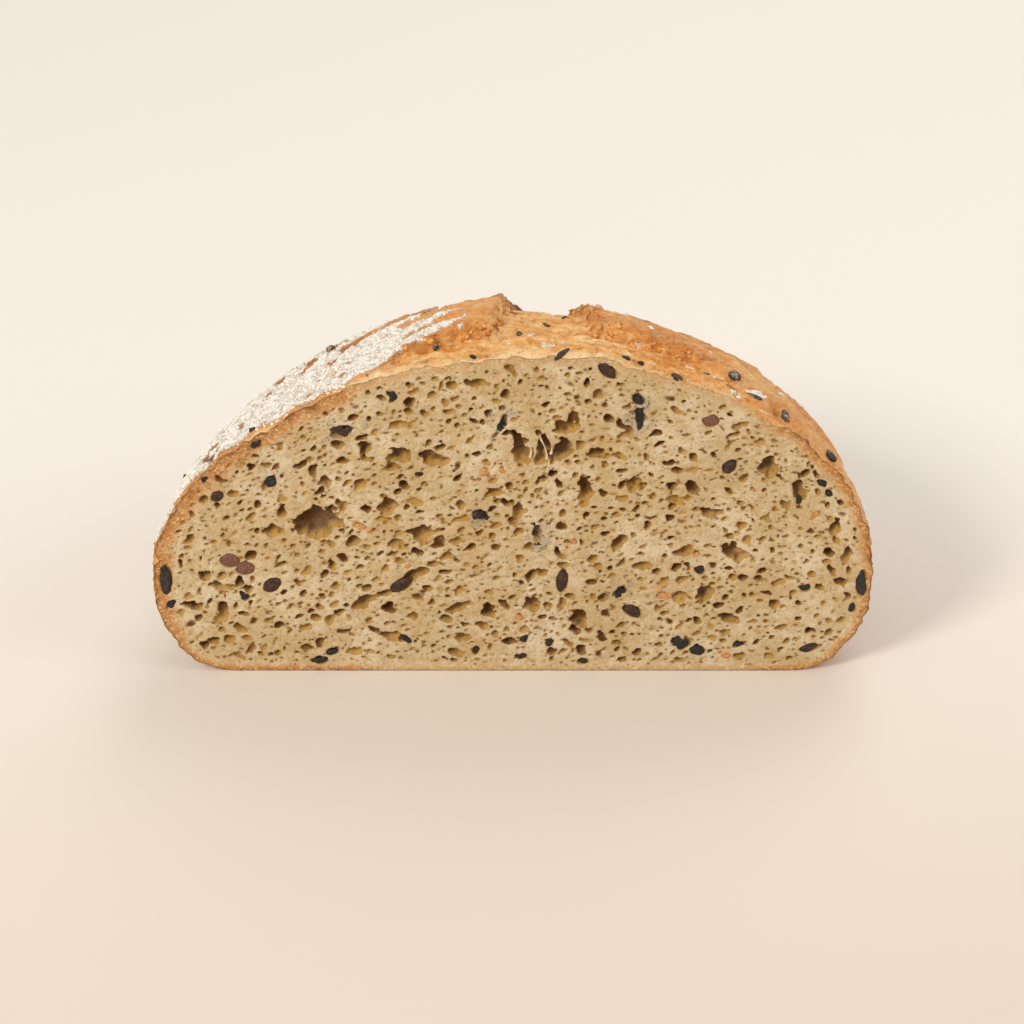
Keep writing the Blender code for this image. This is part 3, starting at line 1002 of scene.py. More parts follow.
@dataclass
class CutFace:
    """The named features of the cut face and the rule that spreads the many small air holes round them.

    A row of LARGE is a hole's x, z, half length, half width, slant, depth and raggedness. A row of SEEDS is
    a seed's kind, x, z, half length, half width, slant and, where the knife crushed it, its stain.
    """

    form: LoafForm
    outline: CutOutline
    margin: float = 2.4
    wall: float = 0.45
    packing: float = 0.72
    seed_margin: float = 0.9
    bed_gap: float = 0.25
    foot_height: float = 20.0
    bin_size: float = 12.0
    tries: int = 25
    size_steps: tuple = ((1.8, 2.7, 80), (1.2, 1.8, 330), (0.75, 1.2, 800), (0.45, 0.75, 1500))
    slant_spread: float = 26.0
    width_shares: tuple = (0.45, 0.85)
    depth_shares: tuple = (0.4, 0.9, 1.4)
    raggedness: tuple = (0.35, 0.75)
    darkest: float = 1.8

    LARGE = tuple(Hole(*row) for row in (
        (-53.0, 48.5, 6.2, 5.4, 10, 3.6, 0.5), (-31.0, 69.5, 5.2, 2.7, 22, 2.6, 0.6),
        (-20.5, 68.5, 3.3, 2.8, 0, 1.6, 0.6), (2.6, 72.0, 2.4, 5.0, 12, 3.6, 0.5),
        (8.0, 71.0, 2.0, 4.4, -8, 3.4, 0.5), (12.4, 70.5, 2.6, 3.8, -24, 3.4, 0.5),
        (20.0, 58.0, 2.7, 3.9, 6, 2.4, 0.4), (15.4, 78.8, 3.6, 3.2, 0, 1.6, 0.6),
        (30.5, 77.5, 4.2, 2.4, -60, 1.4, 0.6), (32.0, 60.5, 3.4, 2.3, 15, 2.2, 0.5),
        (68.9, 66.2, 2.4, 3.4, -10, 2.8, 0.3), (61.0, 38.6, 3.6, 2.4, -15, 2.0, 0.5),
        (47.5, 38.8, 3.2, 1.9, 0, 2.0, 0.4), (59.9, 17.6, 3.2, 1.6, -10, 2.4, 0.4),
        (-41.0, 22.6, 4.2, 1.6, 28, 2.2, 0.4), (-15.0, 21.0, 4.0, 1.6, 18, 2.0, 0.4),
        (-27.0, 31.5, 4.6, 1.5, 25, 2.2, 0.3), (-33.0, 53.0, 3.0, 2.4, 20, 1.4, 0.5),
        (-24.0, 45.5, 3.6, 2.6, 10, 1.6, 0.6), (-43.0, 42.0, 2.2, 1.6, 15, 2.0, 0.4),
        (-50.0, 61.5, 3.0, 2.2, 20, 1.5, 0.5), (-65.0, 46.0, 2.4, 1.9, 10, 1.4, 0.4),
        (5.0, 21.5, 2.6, 1.9, 30, 2.0, 0.4), (77.5, 58.5, 2.0, 3.6, -10, 2.0, 0.4),
        (88.0, 46.5, 1.8, 3.4, 0, 1.8, 0.4), (91.5, 38.0, 1.6, 3.2, -5, 1.8, 0.4),
        (46.0, 25.0, 2.2, 1.8, 20, 1.6, 0.5), (-80.0, 19.5, 1.7, 3.8, -12, 1.8, 0.5),
        (-46.5, 88.5, 2.4, 1.4, 40, 1.6, 0.4), (-9.5, 91.5, 3.6, 1.3, 0, 1.6, 0.4),
        (-5.5, 58.5, 2.2, 1.6, 0, 1.6, 0.5), (29.5, 42.0, 2.8, 1.8, 12, 1.8, 0.5),
    ))
    SEEDS = tuple(SeedPlace(SeedKind(kind), *row) for kind, *row in (
        ("sunflower", -95.4, 30.0, 5.4, 1.8, 86), ("sunflower", 96.2, 29.0, 4.4, 1.6, 88),
        ("red_grain", -77.2, 36.2, 2.6, 2.1, -20), ("red_grain", -73.2, 33.6, 2.7, 2.1, 15),
        ("flax", -65.9, 28.3, 2.9, 2.0, 35), ("flax", -30.4, 28.3, 3.7, 1.6, 27),
        ("flax", 13.8, 29.6, 1.6, 3.8, -4), ("nigella", -73.9, 24.6, 1.3, 1.2, 0),
        ("nigella", -8.3, 51.4, 2.0, 1.6, 10, 1.0), ("nigella", 6.6, 45.0, 1.1, 2.6, 8, 1.0),
        ("nigella", 51.6, 33.3, 1.5, 1.2, 40, 0.3), ("flax", 33.4, 19.6, 2.9, 1.7, -35),
        ("nigella", 47.0, 9.0, 2.3, 2.0, 0, 0.3), ("nigella", 51.6, 6.6, 2.2, 1.6, -20, 0.2),
        ("flax", 58.4, 66.0, 2.4, 1.8, 60, 0.5), ("flax", 25.2, 95.0, 3.0, 1.6, -38),
        ("flax", -45.6, 76.6, 3.0, 1.9, 22, 0.8), ("nigella", -64.9, 61.2, 2.0, 1.6, 40, 0.6),
        ("nigella", -31.6, 87.6, 1.2, 1.8, -20, 0.2), ("nigella", 34.2, 81.0, 1.3, 2.8, 12, 1.0),
        ("nigella", -2.6, 79.5, 1.3, 2.4, -12, 0.9), ("nigella", -24.8, 63.6, 1.0, 0.9, 0),
        ("nigella", 29.6, 26.0, 1.2, 1.8, 5, 1.0), ("nigella", -94.0, 22.0, 1.5, 1.2, 50),
        ("nigella", 94.0, 21.0, 0.9, 1.6, 0), ("nigella", -53.5, 3.4, 2.8, 0.9, 8),
        ("nigella", -50.0, 6.2, 1.8, 0.8, 20), ("nigella", -29.6, 10.4, 2.0, 0.8, -35),
        ("nigella", -10.0, 7.0, 0.8, 1.5, -15), ("nigella", 2.6, 4.8, 1.6, 1.0, 12),
        ("nigella", 10.4, 9.4, 1.0, 1.3, 0, 0.3), ("nigella", 3.4, 10.6, 1.0, 1.2, 10, 0.3),
        ("nigella", 20.0, 3.2, 1.2, 0.9, 30), ("flax", 83.0, 7.6, 3.0, 1.2, 10, 0.3),
        ("nigella", 63.0, 8.8, 1.8, 0.9, 0, 0.3), ("nigella", 77.4, 55.6, 0.7, 1.6, 0),
        ("nigella", 83.6, 60.6, 1.6, 1.0, -50, 0.5), ("nigella", 85.8, 57.4, 1.2, 1.0, -50, 0.3),
        ("nigella", 33.6, 86.2, 1.0, 1.6, 30, 0.2), ("nigella", 80.6, 27.6, 1.6, 1.0, 0, 0.3),
        ("nigella", -72.0, 76.6, 1.8, 1.2, 45), ("nigella", -83.0, 62.6, 1.4, 1.1, 50),
        ("flax", -79.6, 56.6, 1.9, 1.5, 30, 0.3), ("red_grain", 53.0, 80.0, 2.2, 1.8, 0),
        ("orange_grain", -41.2, 47.2, 1.7, 1.4, 20), ("orange_grain", 42.0, 24.6, 1.9, 1.3, 10),
        ("orange_grain", -28.6, 34.6, 1.0, 0.8, 0), ("orange_grain", -2.6, 64.6, 0.9, 1.0, 0),
        ("orange_grain", 1.8, 17.6, 1.1, 0.8, 0), ("orange_grain", 17.0, 42.2, 0.8, 0.7, 0),
        ("orange_grain", 82.0, 50.6, 1.6, 0.8, 40), ("orange_grain", -7.6, 64.2, 1.5, 1.1, -20),
        ("orange_grain", 50.6, 38.2, 1.2, 0.8, 30), ("orange_grain", 60.0, 5.0, 1.4, 0.7, 0),
    ))

    def seeds(self) -> list[SeedPlace]:
        """The named seeds, drawn in where the uneven outline would leave one outside.

        Returns:
            The seeds at their final places.
        """
        kept = []
        for seed in self.SEEDS:
            x, z = self.outline.pulled_in(seed.x, seed.z, self.seed_margin + seed.width * 0.6)
            kept.append(replace(seed, x=x, z=z))
        return kept

    def _bed(self, seed: SeedPlace) -> Hole:
        """The bed of a seed: shallow under an orange grain, and ragged round one that crumbles."""
        depth = 0.5 if seed.kind is SeedKind.ORANGE_GRAIN else 1.3
        ragged = 0.4 if seed.kind in (SeedKind.NIGELLA, SeedKind.ORANGE_GRAIN) else 0.1
        length, width = seed.length + self.bed_gap, seed.width + self.bed_gap
        return Hole(seed.x, seed.z, length, width, seed.slant, depth, ragged)

    def holes(self) -> list[Hole]:
        """The large holes, the seeds' beds and the many small holes.

        Returns:
            All holes, in the order in which they were placed.
        """
        placed = list(self.LARGE) + [self._bed(seed) for seed in self.seeds()]
        draw = np.random.default_rng(SEED)
        rim = self.outline.tree()
        angles, radii = self.outline.radii()
        bins: dict[tuple[int, int], list[tuple[float, float, float]]] = {}

        def take(hole: Hole) -> None:
            """Notes a hole's place and size."""
            key = int(hole.x // self.bin_size), int(hole.z // self.bin_size)
            bins.setdefault(key, []).append((hole.x, hole.z, max(hole.length, hole.width)))

        def free(x: float, z: float, size: float) -> bool:
            """Whether a hole of this size would leave a wall to its neighbours."""
            column, row = int(x // self.bin_size), int(z // self.bin_size)
            near = [entry for i in (-1, 0, 1) for j in (-1, 0, 1)
                    for entry in bins.get((column + i, row + j), ())]
            return all(math.hypot(x - other_x, z - other_z) > self.packing * (size + other) + self.wall
                       for other_x, other_z, other in near)

        for hole in placed:
            take(hole)
        for smallest, largest, wanted in self.size_steps:
            found = 0
            for _ in range(wanted * self.tries):
                if found == wanted:
                    break
                x = draw.uniform(-self.form.radius, self.form.radius)
                z = draw.uniform(0, self.form.height)
                size = draw.uniform(smallest, largest)
                inside = math.hypot(x, z) < np.interp(math.atan2(z, x), angles, radii)
                if not inside or rim.find((x, z, 0))[2] < self.margin + size or not free(x, z, size):
                    continue
                slant = self._flow(x, z) + draw.normal(0, self.slant_spread)
                width = size * draw.uniform(*self.width_shares)
                depth = width * draw.choice(self.depth_shares)
                ragged = draw.uniform(*self.raggedness)
                tone = self.darkest * draw.uniform(0, 1) ** 1.5
                placed.append(Hole(x, z, size, width, slant, depth, ragged, tone))
                take(placed[-1])
                found += 1
        return placed

    def _flow(self, x: float, z: float) -> float:
        """The dough's direction in degrees: level in the middle, and steep at the sides above the foot."""
        share = x / self.form.radius
        steep = 80 if z > self.foot_height else 40
        return 10 - steep * abs(share) ** 3 * np.sign(share)

    def values_at(self, flat: Array) -> dict[str, Array]:
        """Stamps all holes and stains on a fine grid and reads them off at the crumb's corners.

        Args:
            flat: The corners as (x, z).

        Returns:
            The depth in millimetres, the rims' rise, the holes' tone with their painted shade, the stains,
            and the orange by grains.
        """
        holes = self.holes()
        LOG.info("cut face: %d holes", len(holes))
        grid = FaceGrid(self.form)
        depth, rise, stain, warm = (np.zeros_like(grid.x) for _ in range(4))
        tone = np.full_like(grid.x, 0.5)
        for hole in holes:
            window, inside, lit = grid.window(hole)
            bowl = hole.depth * np.clip(1 - inside, 0, 1) ** 0.5
            # Painted shade: each hole is drawn darker on its upper-left side, where the light leaves it in
            # shade, and lighter on its lower right.
            shaded = np.clip(0.28 + 0.5 * hole.tone - 0.75 * lit, 0, 1)
            tone[window] = np.where(bowl > depth[window], shaded, tone[window])
            depth[window] = np.maximum(depth[window], bowl)
            lip = np.exp(-((inside - 1.15) / 0.35) ** 2) * min(hole.depth, 1.0)
            rise[window] = np.maximum(rise[window], lip)
        for seed in self.seeds():
            orange = seed.kind is SeedKind.ORANGE_GRAIN
            layer, strength, grow = (warm, 1.0, 1.3) if orange else (stain, seed.stain, 2.0)
            spot = Hole(seed.x, seed.z, seed.length * grow + 1.0, seed.width * grow + 1.0, seed.slant, 1, 1.2)
            window, inside, _ = grid.window(spot)
            layer[window] = np.maximum(layer[window], strength * np.clip(1.2 - inside, 0, 1))
        layers = {"depth": depth, "rise": rise, "tone": tone, "stain": stain, "warm": warm}
        return {name: grid.read(layer, flat) for name, layer in layers.items()}


class CrumbFinish(Finish):
    """The crumb's finish: cream walls, golden holes darkened by painted shade, grey stains by dark seeds, and
    a browned rim.
    """

    def __init__(self, tones: BreadColours) -> None:
        """Makes the patterns that its layers share."""
        super().__init__("crumb_finish")
        self.tones = tones
        self.depth = self.attribute("depth")
        self.rim = self.attribute("rim")
        self.sides = self.attribute("sides")
        self.middle = self.noise(3.2, detail=4.0, rough=0.6)
        self.fine = self.noise(0.6, detail=4.0, rough=0.65)
        self.grit = self.noise(0.4, detail=3.0, rough=0.7)
        flat = self.stretched((0.7, 1.0, 1.0))
        uneven = (self.middle - 0.5) * 0.34
        self.medium_pits = self.cells(2.1, place=self.bent(1.5, 0.35, flat)) + uneven
        self.small_pits = self.cells(1.0, place=self.bent(0.9, 0.25, flat)) + uneven
        coarse = self.noise(0.9, detail=3.0, rough=0.7)
        self.grains = (self.grit * 0.45 + coarse * 0.55).between(0.42, 0.58)
        self.band = 1 - self._ragged_rim(3.2, 1.8).between(1.4, 4.6)

    def _ragged_rim(self, middle: float, fine: float) -> Socket:
        """The distance from the rim, made uneven by the two noises."""
        return self.rim + (self.middle - 0.5) * middle + (self.fine - 0.5) * fine

    def _walls(self) -> Socket:
        """The cream walls between the holes, with their finest pits darkened by painted shade."""
        tones, fine, grit = self.tones, self.fine, self.grit
        broad = self.noise(17.0, detail=3.0)
        shade = (broad * 0.35 + self.middle * 0.35 + fine * 0.3).between(0.36, 0.64)
        warm = self.noise(6.0, detail=3.0).between(0.6, 0.74) * fine.between(0.4, 0.6)
        return self.coated(
            self.ramp(shade, ((0.0, tones.crumb_olive), (0.5, tones.crumb), (1.0, tones.crumb_light))),
            (grit.between(0.54, 0.7) * 0.55, tones.crumb_light),
            ((1 - grit.between(0.3, 0.44)) * 0.4, tones.shallow_pore),
            (warm * 0.45, tones.warm_fleck),
            # Painted shade: the pits of the cell pattern are drawn in the holes' darker colours.
            ((1 - self.medium_pits.between(0.13, 0.2)) * 0.8, tones.pore_shade),
            ((1 - self.small_pits.between(0.12, 0.24)) * 0.55, tones.shallow_pore))

    def _pitted(self) -> Socket:
        """The walls and the holes in them, with painted shade: darker where they are deep and on their shaded
        side.
        """
        tones, depth, tone = self.tones, self.depth, self.attribute("tone")
        # Painted shade: a hole's colour darkens with its depth and with the painted shade of its side.
        hole = self.coated(
            tones.shallow_pore,
            (tone.between(0.1, 0.9), tones.pore_shade),
            ((depth * 0.4 + tone * 1.6).between(0.7, 1.9), tones.deep_pore_shade),
            (self.fine.between(0.5, 0.8) * 0.3, tones.shallow_pore))
        return self.mix(depth.between(0.12, 0.42) * (0.72 + 0.28 * tone), self._walls(), hole)

    def _stained(self) -> Socket:
        """The pitted crumb with smears and specks by crushed seeds, and orange by crumbly grains."""
        tones, fine, middle = self.tones, self.fine, self.middle
        halo = self.attribute("stain")
        specks = 1 - self.cells(1.1, place=self.bent(0.8, 0.4)).between(0.16, 0.3)
        orange = self.attribute("warm") + (fine - 0.5) * 1.6 + (middle - 0.5)
        return self.coated(
            self._pitted(),
            ((halo + (middle - 0.5) * 1.5 + (fine - 0.5)).between(0.2, 1.2) * 0.45, tones.stain),
            (specks * (halo + fine - 0.5).between(0.35, 0.7) * 0.85, tones.speck),
            (self.grit.between(0.56, 0.66) * halo * 0.7, tones.crumb_light),
            (orange.between(0.4, 1.0) * 0.6, tones.warm_fleck))

    def _toasted(self) -> Socket:
        """The browned band along the rim: orange at the sides and paler over the top."""
        tones, rim, sides = self.tones, self.rim, self.sides
        patches = self.noise(5.0, detail=4.0, rough=0.65).between(0.5, 0.6) * (1 - rim.between(0.8, 2.4))
        return self.coated(
            self.mix(self.grains, tones.cut_crust, tones.cut_light),
            (rim.between(1.6, 4.4) * 0.6, tones.cut_light),
            (patches * (0.1 + 0.45 * sides), tones.cut_edge),
            ((1 - sides) * 0.8, self.mix(self.grains, tones.cut_light, tones.ridge_light)))

    def dressed(self) -> bpy.types.Material:
        """Lays the browned band and its edge over the crumb and feeds the shader.

        Returns:
            The finished material.
        """
        tones, sides = self.tones, self.sides
        edge = 1 - self._ragged_rim(2.0, 1.4).between(0.1, 0.8)
        colour = self.coated(
            self._stained(),
            (self.band * (1 - self.depth.between(0.2, 0.9) * 0.5) * 0.9, self._toasted()),
            (edge * sides * 0.7, tones.cut_edge),
            (edge * (1 - sides) * 0.6, tones.ridge_light))
        bowls = self.medium_pits.between(0.05, 0.26) * 0.8 + self.small_pits.between(0.05, 0.26) * 0.4
        grains = self.grit * 0.25 + self.band * self.grains * 0.4
        height = self.fine * 0.5 + self.middle * 0.3 + bowls + grains
        return self.finish(colour, 0.85, height, 0.55, translucent(0.25, 0.07, (1.0, 0.6, 0.3), 1.2))


@dataclass
class Crumb:
    """The cut crumb: a slab whose front is pitted with air holes, set in the crust's recess."""

    form: LoafForm
    colours: BreadColours
    outline: CutOutline
    sheet: Sheet = field(default_factory=lambda: Sheet(across=434, back=217))
    proud: float = 0.14
    lip_width: float = 1.2
    lip_proud: float = 0.02
    thickness: float = 6.8
    back_inset: float = 6.9
    edge_inset: float = 0.12
    edge_proud: float = 0.012
    left_band: float = 1.3
    right_band: float = 0.85
    base_band: float = 0.62
    top_band_share: float = 0.55

    def build(self) -> bpy.types.Object:
        """Forms and dresses the crumb.

        Returns:
            The closed piece.
        """
        face = CutFace(self.form, self.outline)
        flat = self._flat()
        read = face.values_at(flat)
        tree = self.outline.tree()
        rim = np.array([tree.find((x, z, 0))[2] for x, z in flat])
        points = upright(flat)
        fade = smooth_step((rim - 0.3) / 1.8)
        uneven = 0.30 * noise_at(points, 9.0, 1.0) + 0.16 * noise_at(points, 3.0, 2.0)
        grain = 0.12 * noise_at(points, 1.1, 3.0)
        inward = fade * (read["depth"] + uneven + 0.12 - 0.14 * read.pop("rise")) + grain - self.proud
        deepest = np.clip(0.9 * (rim - self.lip_width - 0.4), -0.06, self.thickness - 1.2)
        whole = smooth_step((rim - self.edge_inset) / 0.5)
        points[:, 1] = whole * np.clip(inward, -2 * self.proud, deepest) - (1 - whole) * self.edge_proud
        sides = smooth_step((np.abs(flat[:, 0] - 14.0) - 48.0) / 12.0)
        read |= {"depth": read["depth"] * fade, "rim": rim / self._band_width(flat, sides), "sides": sides}
        points, faces = self._close(points, self.sheet.faces().tolist())
        return new_piece("crumb", points, faces, CrumbFinish(self.colours).dressed(), read)

    def _band_width(self, flat: Array, sides: Array) -> Array:
        """How wide the browned band is: widest on the left, narrow on the right, thin below and on top."""
        x, z = flat.T
        side = self.right_band + (self.left_band - self.right_band) * smooth_step(0.5 - x / self.form.radius)
        width = self.base_band + (side - self.base_band) * smooth_step((z - 4.0) / 16.0)
        away_from_top = np.maximum(sides, smooth_step((20.0 - z) / 9.0))
        return width * (self.top_band_share + (1 - self.top_band_share) * away_from_top)

    def _flat(self) -> Array:
        """The sheet's corners laid out over the cut face as (x, z), just inside its outline."""
        angles, radii = self.outline.radii(self.edge_inset)
        azimuth, share = self.sheet.azimuth, self.sheet.share
        radius = np.interp(azimuth, angles, radii) * share
        x, z = radius * np.cos(azimuth), radius * np.sin(azimuth)
        return np.stack([x, np.maximum(z, self.edge_inset)], axis=1)

    def _close(self, points: Array, faces: list) -> tuple[Array, list]:
        """Adds the thin lip that covers the crust's rim, the sides and the back."""
        loop = self.sheet.front_row() + self.sheet.round_side()[1:-1]
        edge = points[loop][:, [0, 2]]
        rings = ((inset(edge, self.lip_width), -self.lip_proud),
                 (drawn_in(edge, self.back_inset), self.thickness))
        points, (lip, back) = add_rings(points, rings)
        return points, faces + bridge(loop, lip) + bridge(lip, back) + [back]


@dataclass(frozen=True)
class SeedLook:
    """The form and colours of one kind of seed or grain."""

    name: str
    dark: tuple
    light: tuple
    roughness: float
    taper: float
    dents: float
    pattern: float


SEED_LOOKS = {
    SeedKind(kind): SeedLook(name, linear(*dark), linear(*light), *numbers)
    for kind, name, dark, light, *numbers in (
        ("flax", "flax_seeds", (40, 24, 16), (104, 62, 40), 0.4, 0.3, 0.4, 1.2),
        ("nigella", "nigella_seeds", (24, 20, 18), (70, 60, 52), 0.6, 0.2, 1.0, 0.5),
        ("sunflower", "sunflower_seeds", (34, 29, 26), (78, 68, 58), 0.5, 0.3, 0.35, 0.9),
        ("red_grain", "red_grains", (104, 62, 48), (168, 120, 96), 0.6, 0.0, 0.12, 0.5),
        ("orange_grain", "orange_grains", (196, 136, 76), (232, 186, 126), 0.85, 0.0, 1.9, 0.4),
        ("pale_grain", "pale_grains", (206, 182, 146), (236, 224, 202), 0.7, 0.2, 0.5, 0.9),
    )
}


def seed_finish(look_of: SeedLook) -> bpy.types.Material:
    """The finish of one kind of seed: a dark skin with fine lengthwise streaks and a soft gloss.

    Args:
        look_of: The kind's form and colours.

    Returns:
        The finished material.
    """
    look = Finish(look_of.name + "_finish")
    streaks = look.noise(look_of.pattern, detail=3.0, rough=0.6)
    fine = look.noise(0.25, detail=2.0)
    on_crust = look.axis(look.place, 1).between(CUT_Y + 3 * MM, CUT_Y + 8 * MM)
    dusting = (look.noise(1.6, detail=4.0, rough=0.65) * 0.7 + fine * 0.3).between(0.5, 0.6)
    skin = look.mix((streaks * 0.7 + fine * 0.3).between(0.42, 0.72), look_of.dark, look_of.light)
    colour = look.mix(on_crust * dusting * 0.7, skin, BreadColours().dusty)
    rough = look_of.roughness + 0.25 * streaks
    return look.finish(colour, rough, streaks * 0.6 + fine * 0.4, 0.15, {"Specular IOR Level": 0.45})


@dataclass(frozen=True)
class Pebble:
    """The form of the bits of one piece: how finely cut, how tapered, and their dents in millimetres."""

    detail: int
    taper: float
    dent_size: float
    dent: float
    material: bpy.types.Material


@dataclass
class Placing:
    """Where each seed of one kind lies: its middle in metres, its turn, and its half sizes in metres."""

    places: list[Vector] = field(default_factory=list)
    turns: list[tuple[float, float, float]] = field(default_factory=list)
    sizes: list[tuple[float, float, float]] = field(default_factory=list)

    def add(self, place: Vector, facing: Vector, along: Vector, size: tuple[float, float, float]) -> None:
        """Adds a seed.

        Args:
            place: Its middle in metres.
            facing: The direction its flat side faces.
            along: The direction of its length, nearly at right angles to facing.
            size: Half its length, width and thickness in millimetres.
        """
        up = facing.normalized()
        side = up.cross(along).normalized()
        ahead = side.cross(up)
        turn = Matrix((ahead, side, up)).transposed().to_euler()
        self.places.append(place)
        self.turns.append(tuple(turn))
        self.sizes.append(tuple(value * MM for value in size))


class NodeRecipe(Graph):
    """A geometry tree with named inputs, applied to a host object and turned into a plain mesh."""

    def __init__(self, name: str) -> None:
        """Makes the tree with its geometry sockets."""
        tree = bpy.data.node_groups.new(name, "GeometryNodeTree")
        tree.is_modifier = True
        super().__init__(tree)
        tree.interface.new_socket("Geometry", in_out="INPUT", socket_type="NodeSocketGeometry")
        tree.interface.new_socket("Geometry", in_out="OUTPUT", socket_type="NodeSocketGeometry")
        self.entry = tree.nodes.new("NodeGroupInput")
        self.exit = tree.nodes.new("NodeGroupOutput")
        self.values: dict[str, object] = {}

    def give(self, name: str, kind: str, value: object) -> Socket:
        """Adds a named input and remembers its value.

        Args:
            name: The input's name.
            kind: Its socket type, such as NodeSocketFloat.
            value: The value that the modifier gives it.

        Returns:
            The input inside the tree.
        """
        item = self.tree.interface.new_socket(name, in_out="INPUT", socket_type=kind)
        self.values[item.identifier] = value
        return Socket(self, self.entry.outputs[name])

    @property
    def host(self) -> Socket:
        """The host's own geometry."""
        return Socket(self, self.entry.outputs["Geometry"])

    def apply(self, host: bpy.types.Object, geometry: Socket, name: str) -> bpy.types.Object:
        """Ends the tree, runs it on the host and keeps the result as a plain mesh.

        Args:
            host: The object that the modifier goes on for the moment.
            geometry: The tree's last geometry.
            name: The new piece's name.

        Returns:
            The new piece.
        """
        self.tree.links.new(geometry.output, self.exit.inputs[0])
        modifier = host.modifiers.new(name, "NODES")
        modifier.node_group = self.tree
        for identifier, value in self.values.items():
            modifier[identifier] = value
        host.update_tag()
        graph = bpy.context.evaluated_depsgraph_get()
        mesh = bpy.data.meshes.new_from_object(host.evaluated_get(graph))
        mesh.name = name
        host.modifiers.remove(modifier)
        return add_object(name, mesh)

    def carried(self, name: str, kind: str) -> Socket:
        """A value that the host's mesh carries."""
        return self.node("GeometryNodeInputNamedAttribute", {"data_type": kind}, {"Name": name})

    def drawn(self, low: "float | tuple", high: "float | tuple", seed: int, **by: Socket) -> Socket:
        """A random number or vector for each point, between two limits."""
        kind, first = ("FLOAT_VECTOR", 0) if isinstance(low, tuple) else ("FLOAT", 2)
        inputs = {first: low, first + 1: high, "Seed": seed, **by}
        return self.node("FunctionNodeRandomValue", {"data_type": kind}, inputs, output=first // 2)

    def pebbles(self, points: Socket, turn: Socket, size: Socket, form: Pebble) -> Socket:
        """Sets a dented, tapered ball on each point, as real geometry with its material.

        Args:
            points: The points.
            turn: The turn of each.
            size: Half the sizes of each, in metres.
            form: What all of them have in common.

        Returns:
            The realized, smooth geometry.
        """
        taper = self.give("Taper", "NodeSocketFloat", form.taper)
        dent = self.give("Dent", "NodeSocketFloat", form.dent * MM)
        material = self.give("Material", "NodeSocketMaterial", form.material)
        ball = self.node("GeometryNodeMeshIcoSphere", inputs={"Radius": 1.0, "Subdivisions": form.detail})
        place = self.node("GeometryNodeInputPosition")
        x, y, z = (self.axis(place, number) for number in range(3))
        narrow = 1 - taper * x
        moved = self.node("ShaderNodeCombineXYZ", inputs={0: x, 1: y * narrow, 2: z * narrow})
        pebble = self.node("GeometryNodeSetPosition", inputs={"Geometry": ball, "Position": moved})
        inputs = {"Points": points, "Instance": pebble, "Rotation": turn, "Scale": size}
        set_out = self.node("GeometryNodeInstanceOnPoints", inputs=inputs)
        real = self.node("GeometryNodeRealizeInstances", inputs={"Geometry": set_out})
        inputs = {"Geometry": real, "Offset": self.shift(form.dent_size, dent)}
        dented = self.node("GeometryNodeSetPosition", inputs=inputs)
        smooth = self.node("GeometryNodeSetShadeSmooth", inputs={"Geometry": dented})
        return self.node("GeometryNodeSetMaterial", inputs={"Geometry": smooth, "Material": material})


def placed_pieces(placing: Placing, look_of: SeedLook) -> bpy.types.Object:
    """Sets a seed on each place with its own turn and size, as one joined mesh.

    Args:
        placing: The places, turns and sizes.
        look_of: The kind's form and colours.

    Returns:
        The joined piece.
    """
    mesh = bpy.data.meshes.new(look_of.name + "_places")
    mesh.from_pydata(placing.places, [], [])
    for label, rows in (("turn", placing.turns), ("size", placing.sizes)):
        layer = mesh.attributes.new(label, "FLOAT_VECTOR", "POINT")
        layer.data.foreach_set("vector", np.array(rows, dtype=np.float32).ravel())
    host = add_object(mesh.name, mesh)
    recipe = NodeRecipe(look_of.name + "_recipe")
    turn = recipe.node("FunctionNodeEulerToRotation", inputs={0: recipe.carried("turn", "FLOAT_VECTOR")})
    size = recipe.carried("size", "FLOAT_VECTOR")
    form = Pebble(detail=3, taper=look_of.taper, dent_size=1.3, dent=look_of.dents,
                  material=seed_finish(look_of))
    piece = recipe.apply(host, recipe.pebbles(recipe.host, turn, size, form), look_of.name)
    bpy.data.objects.remove(host)
    return piece


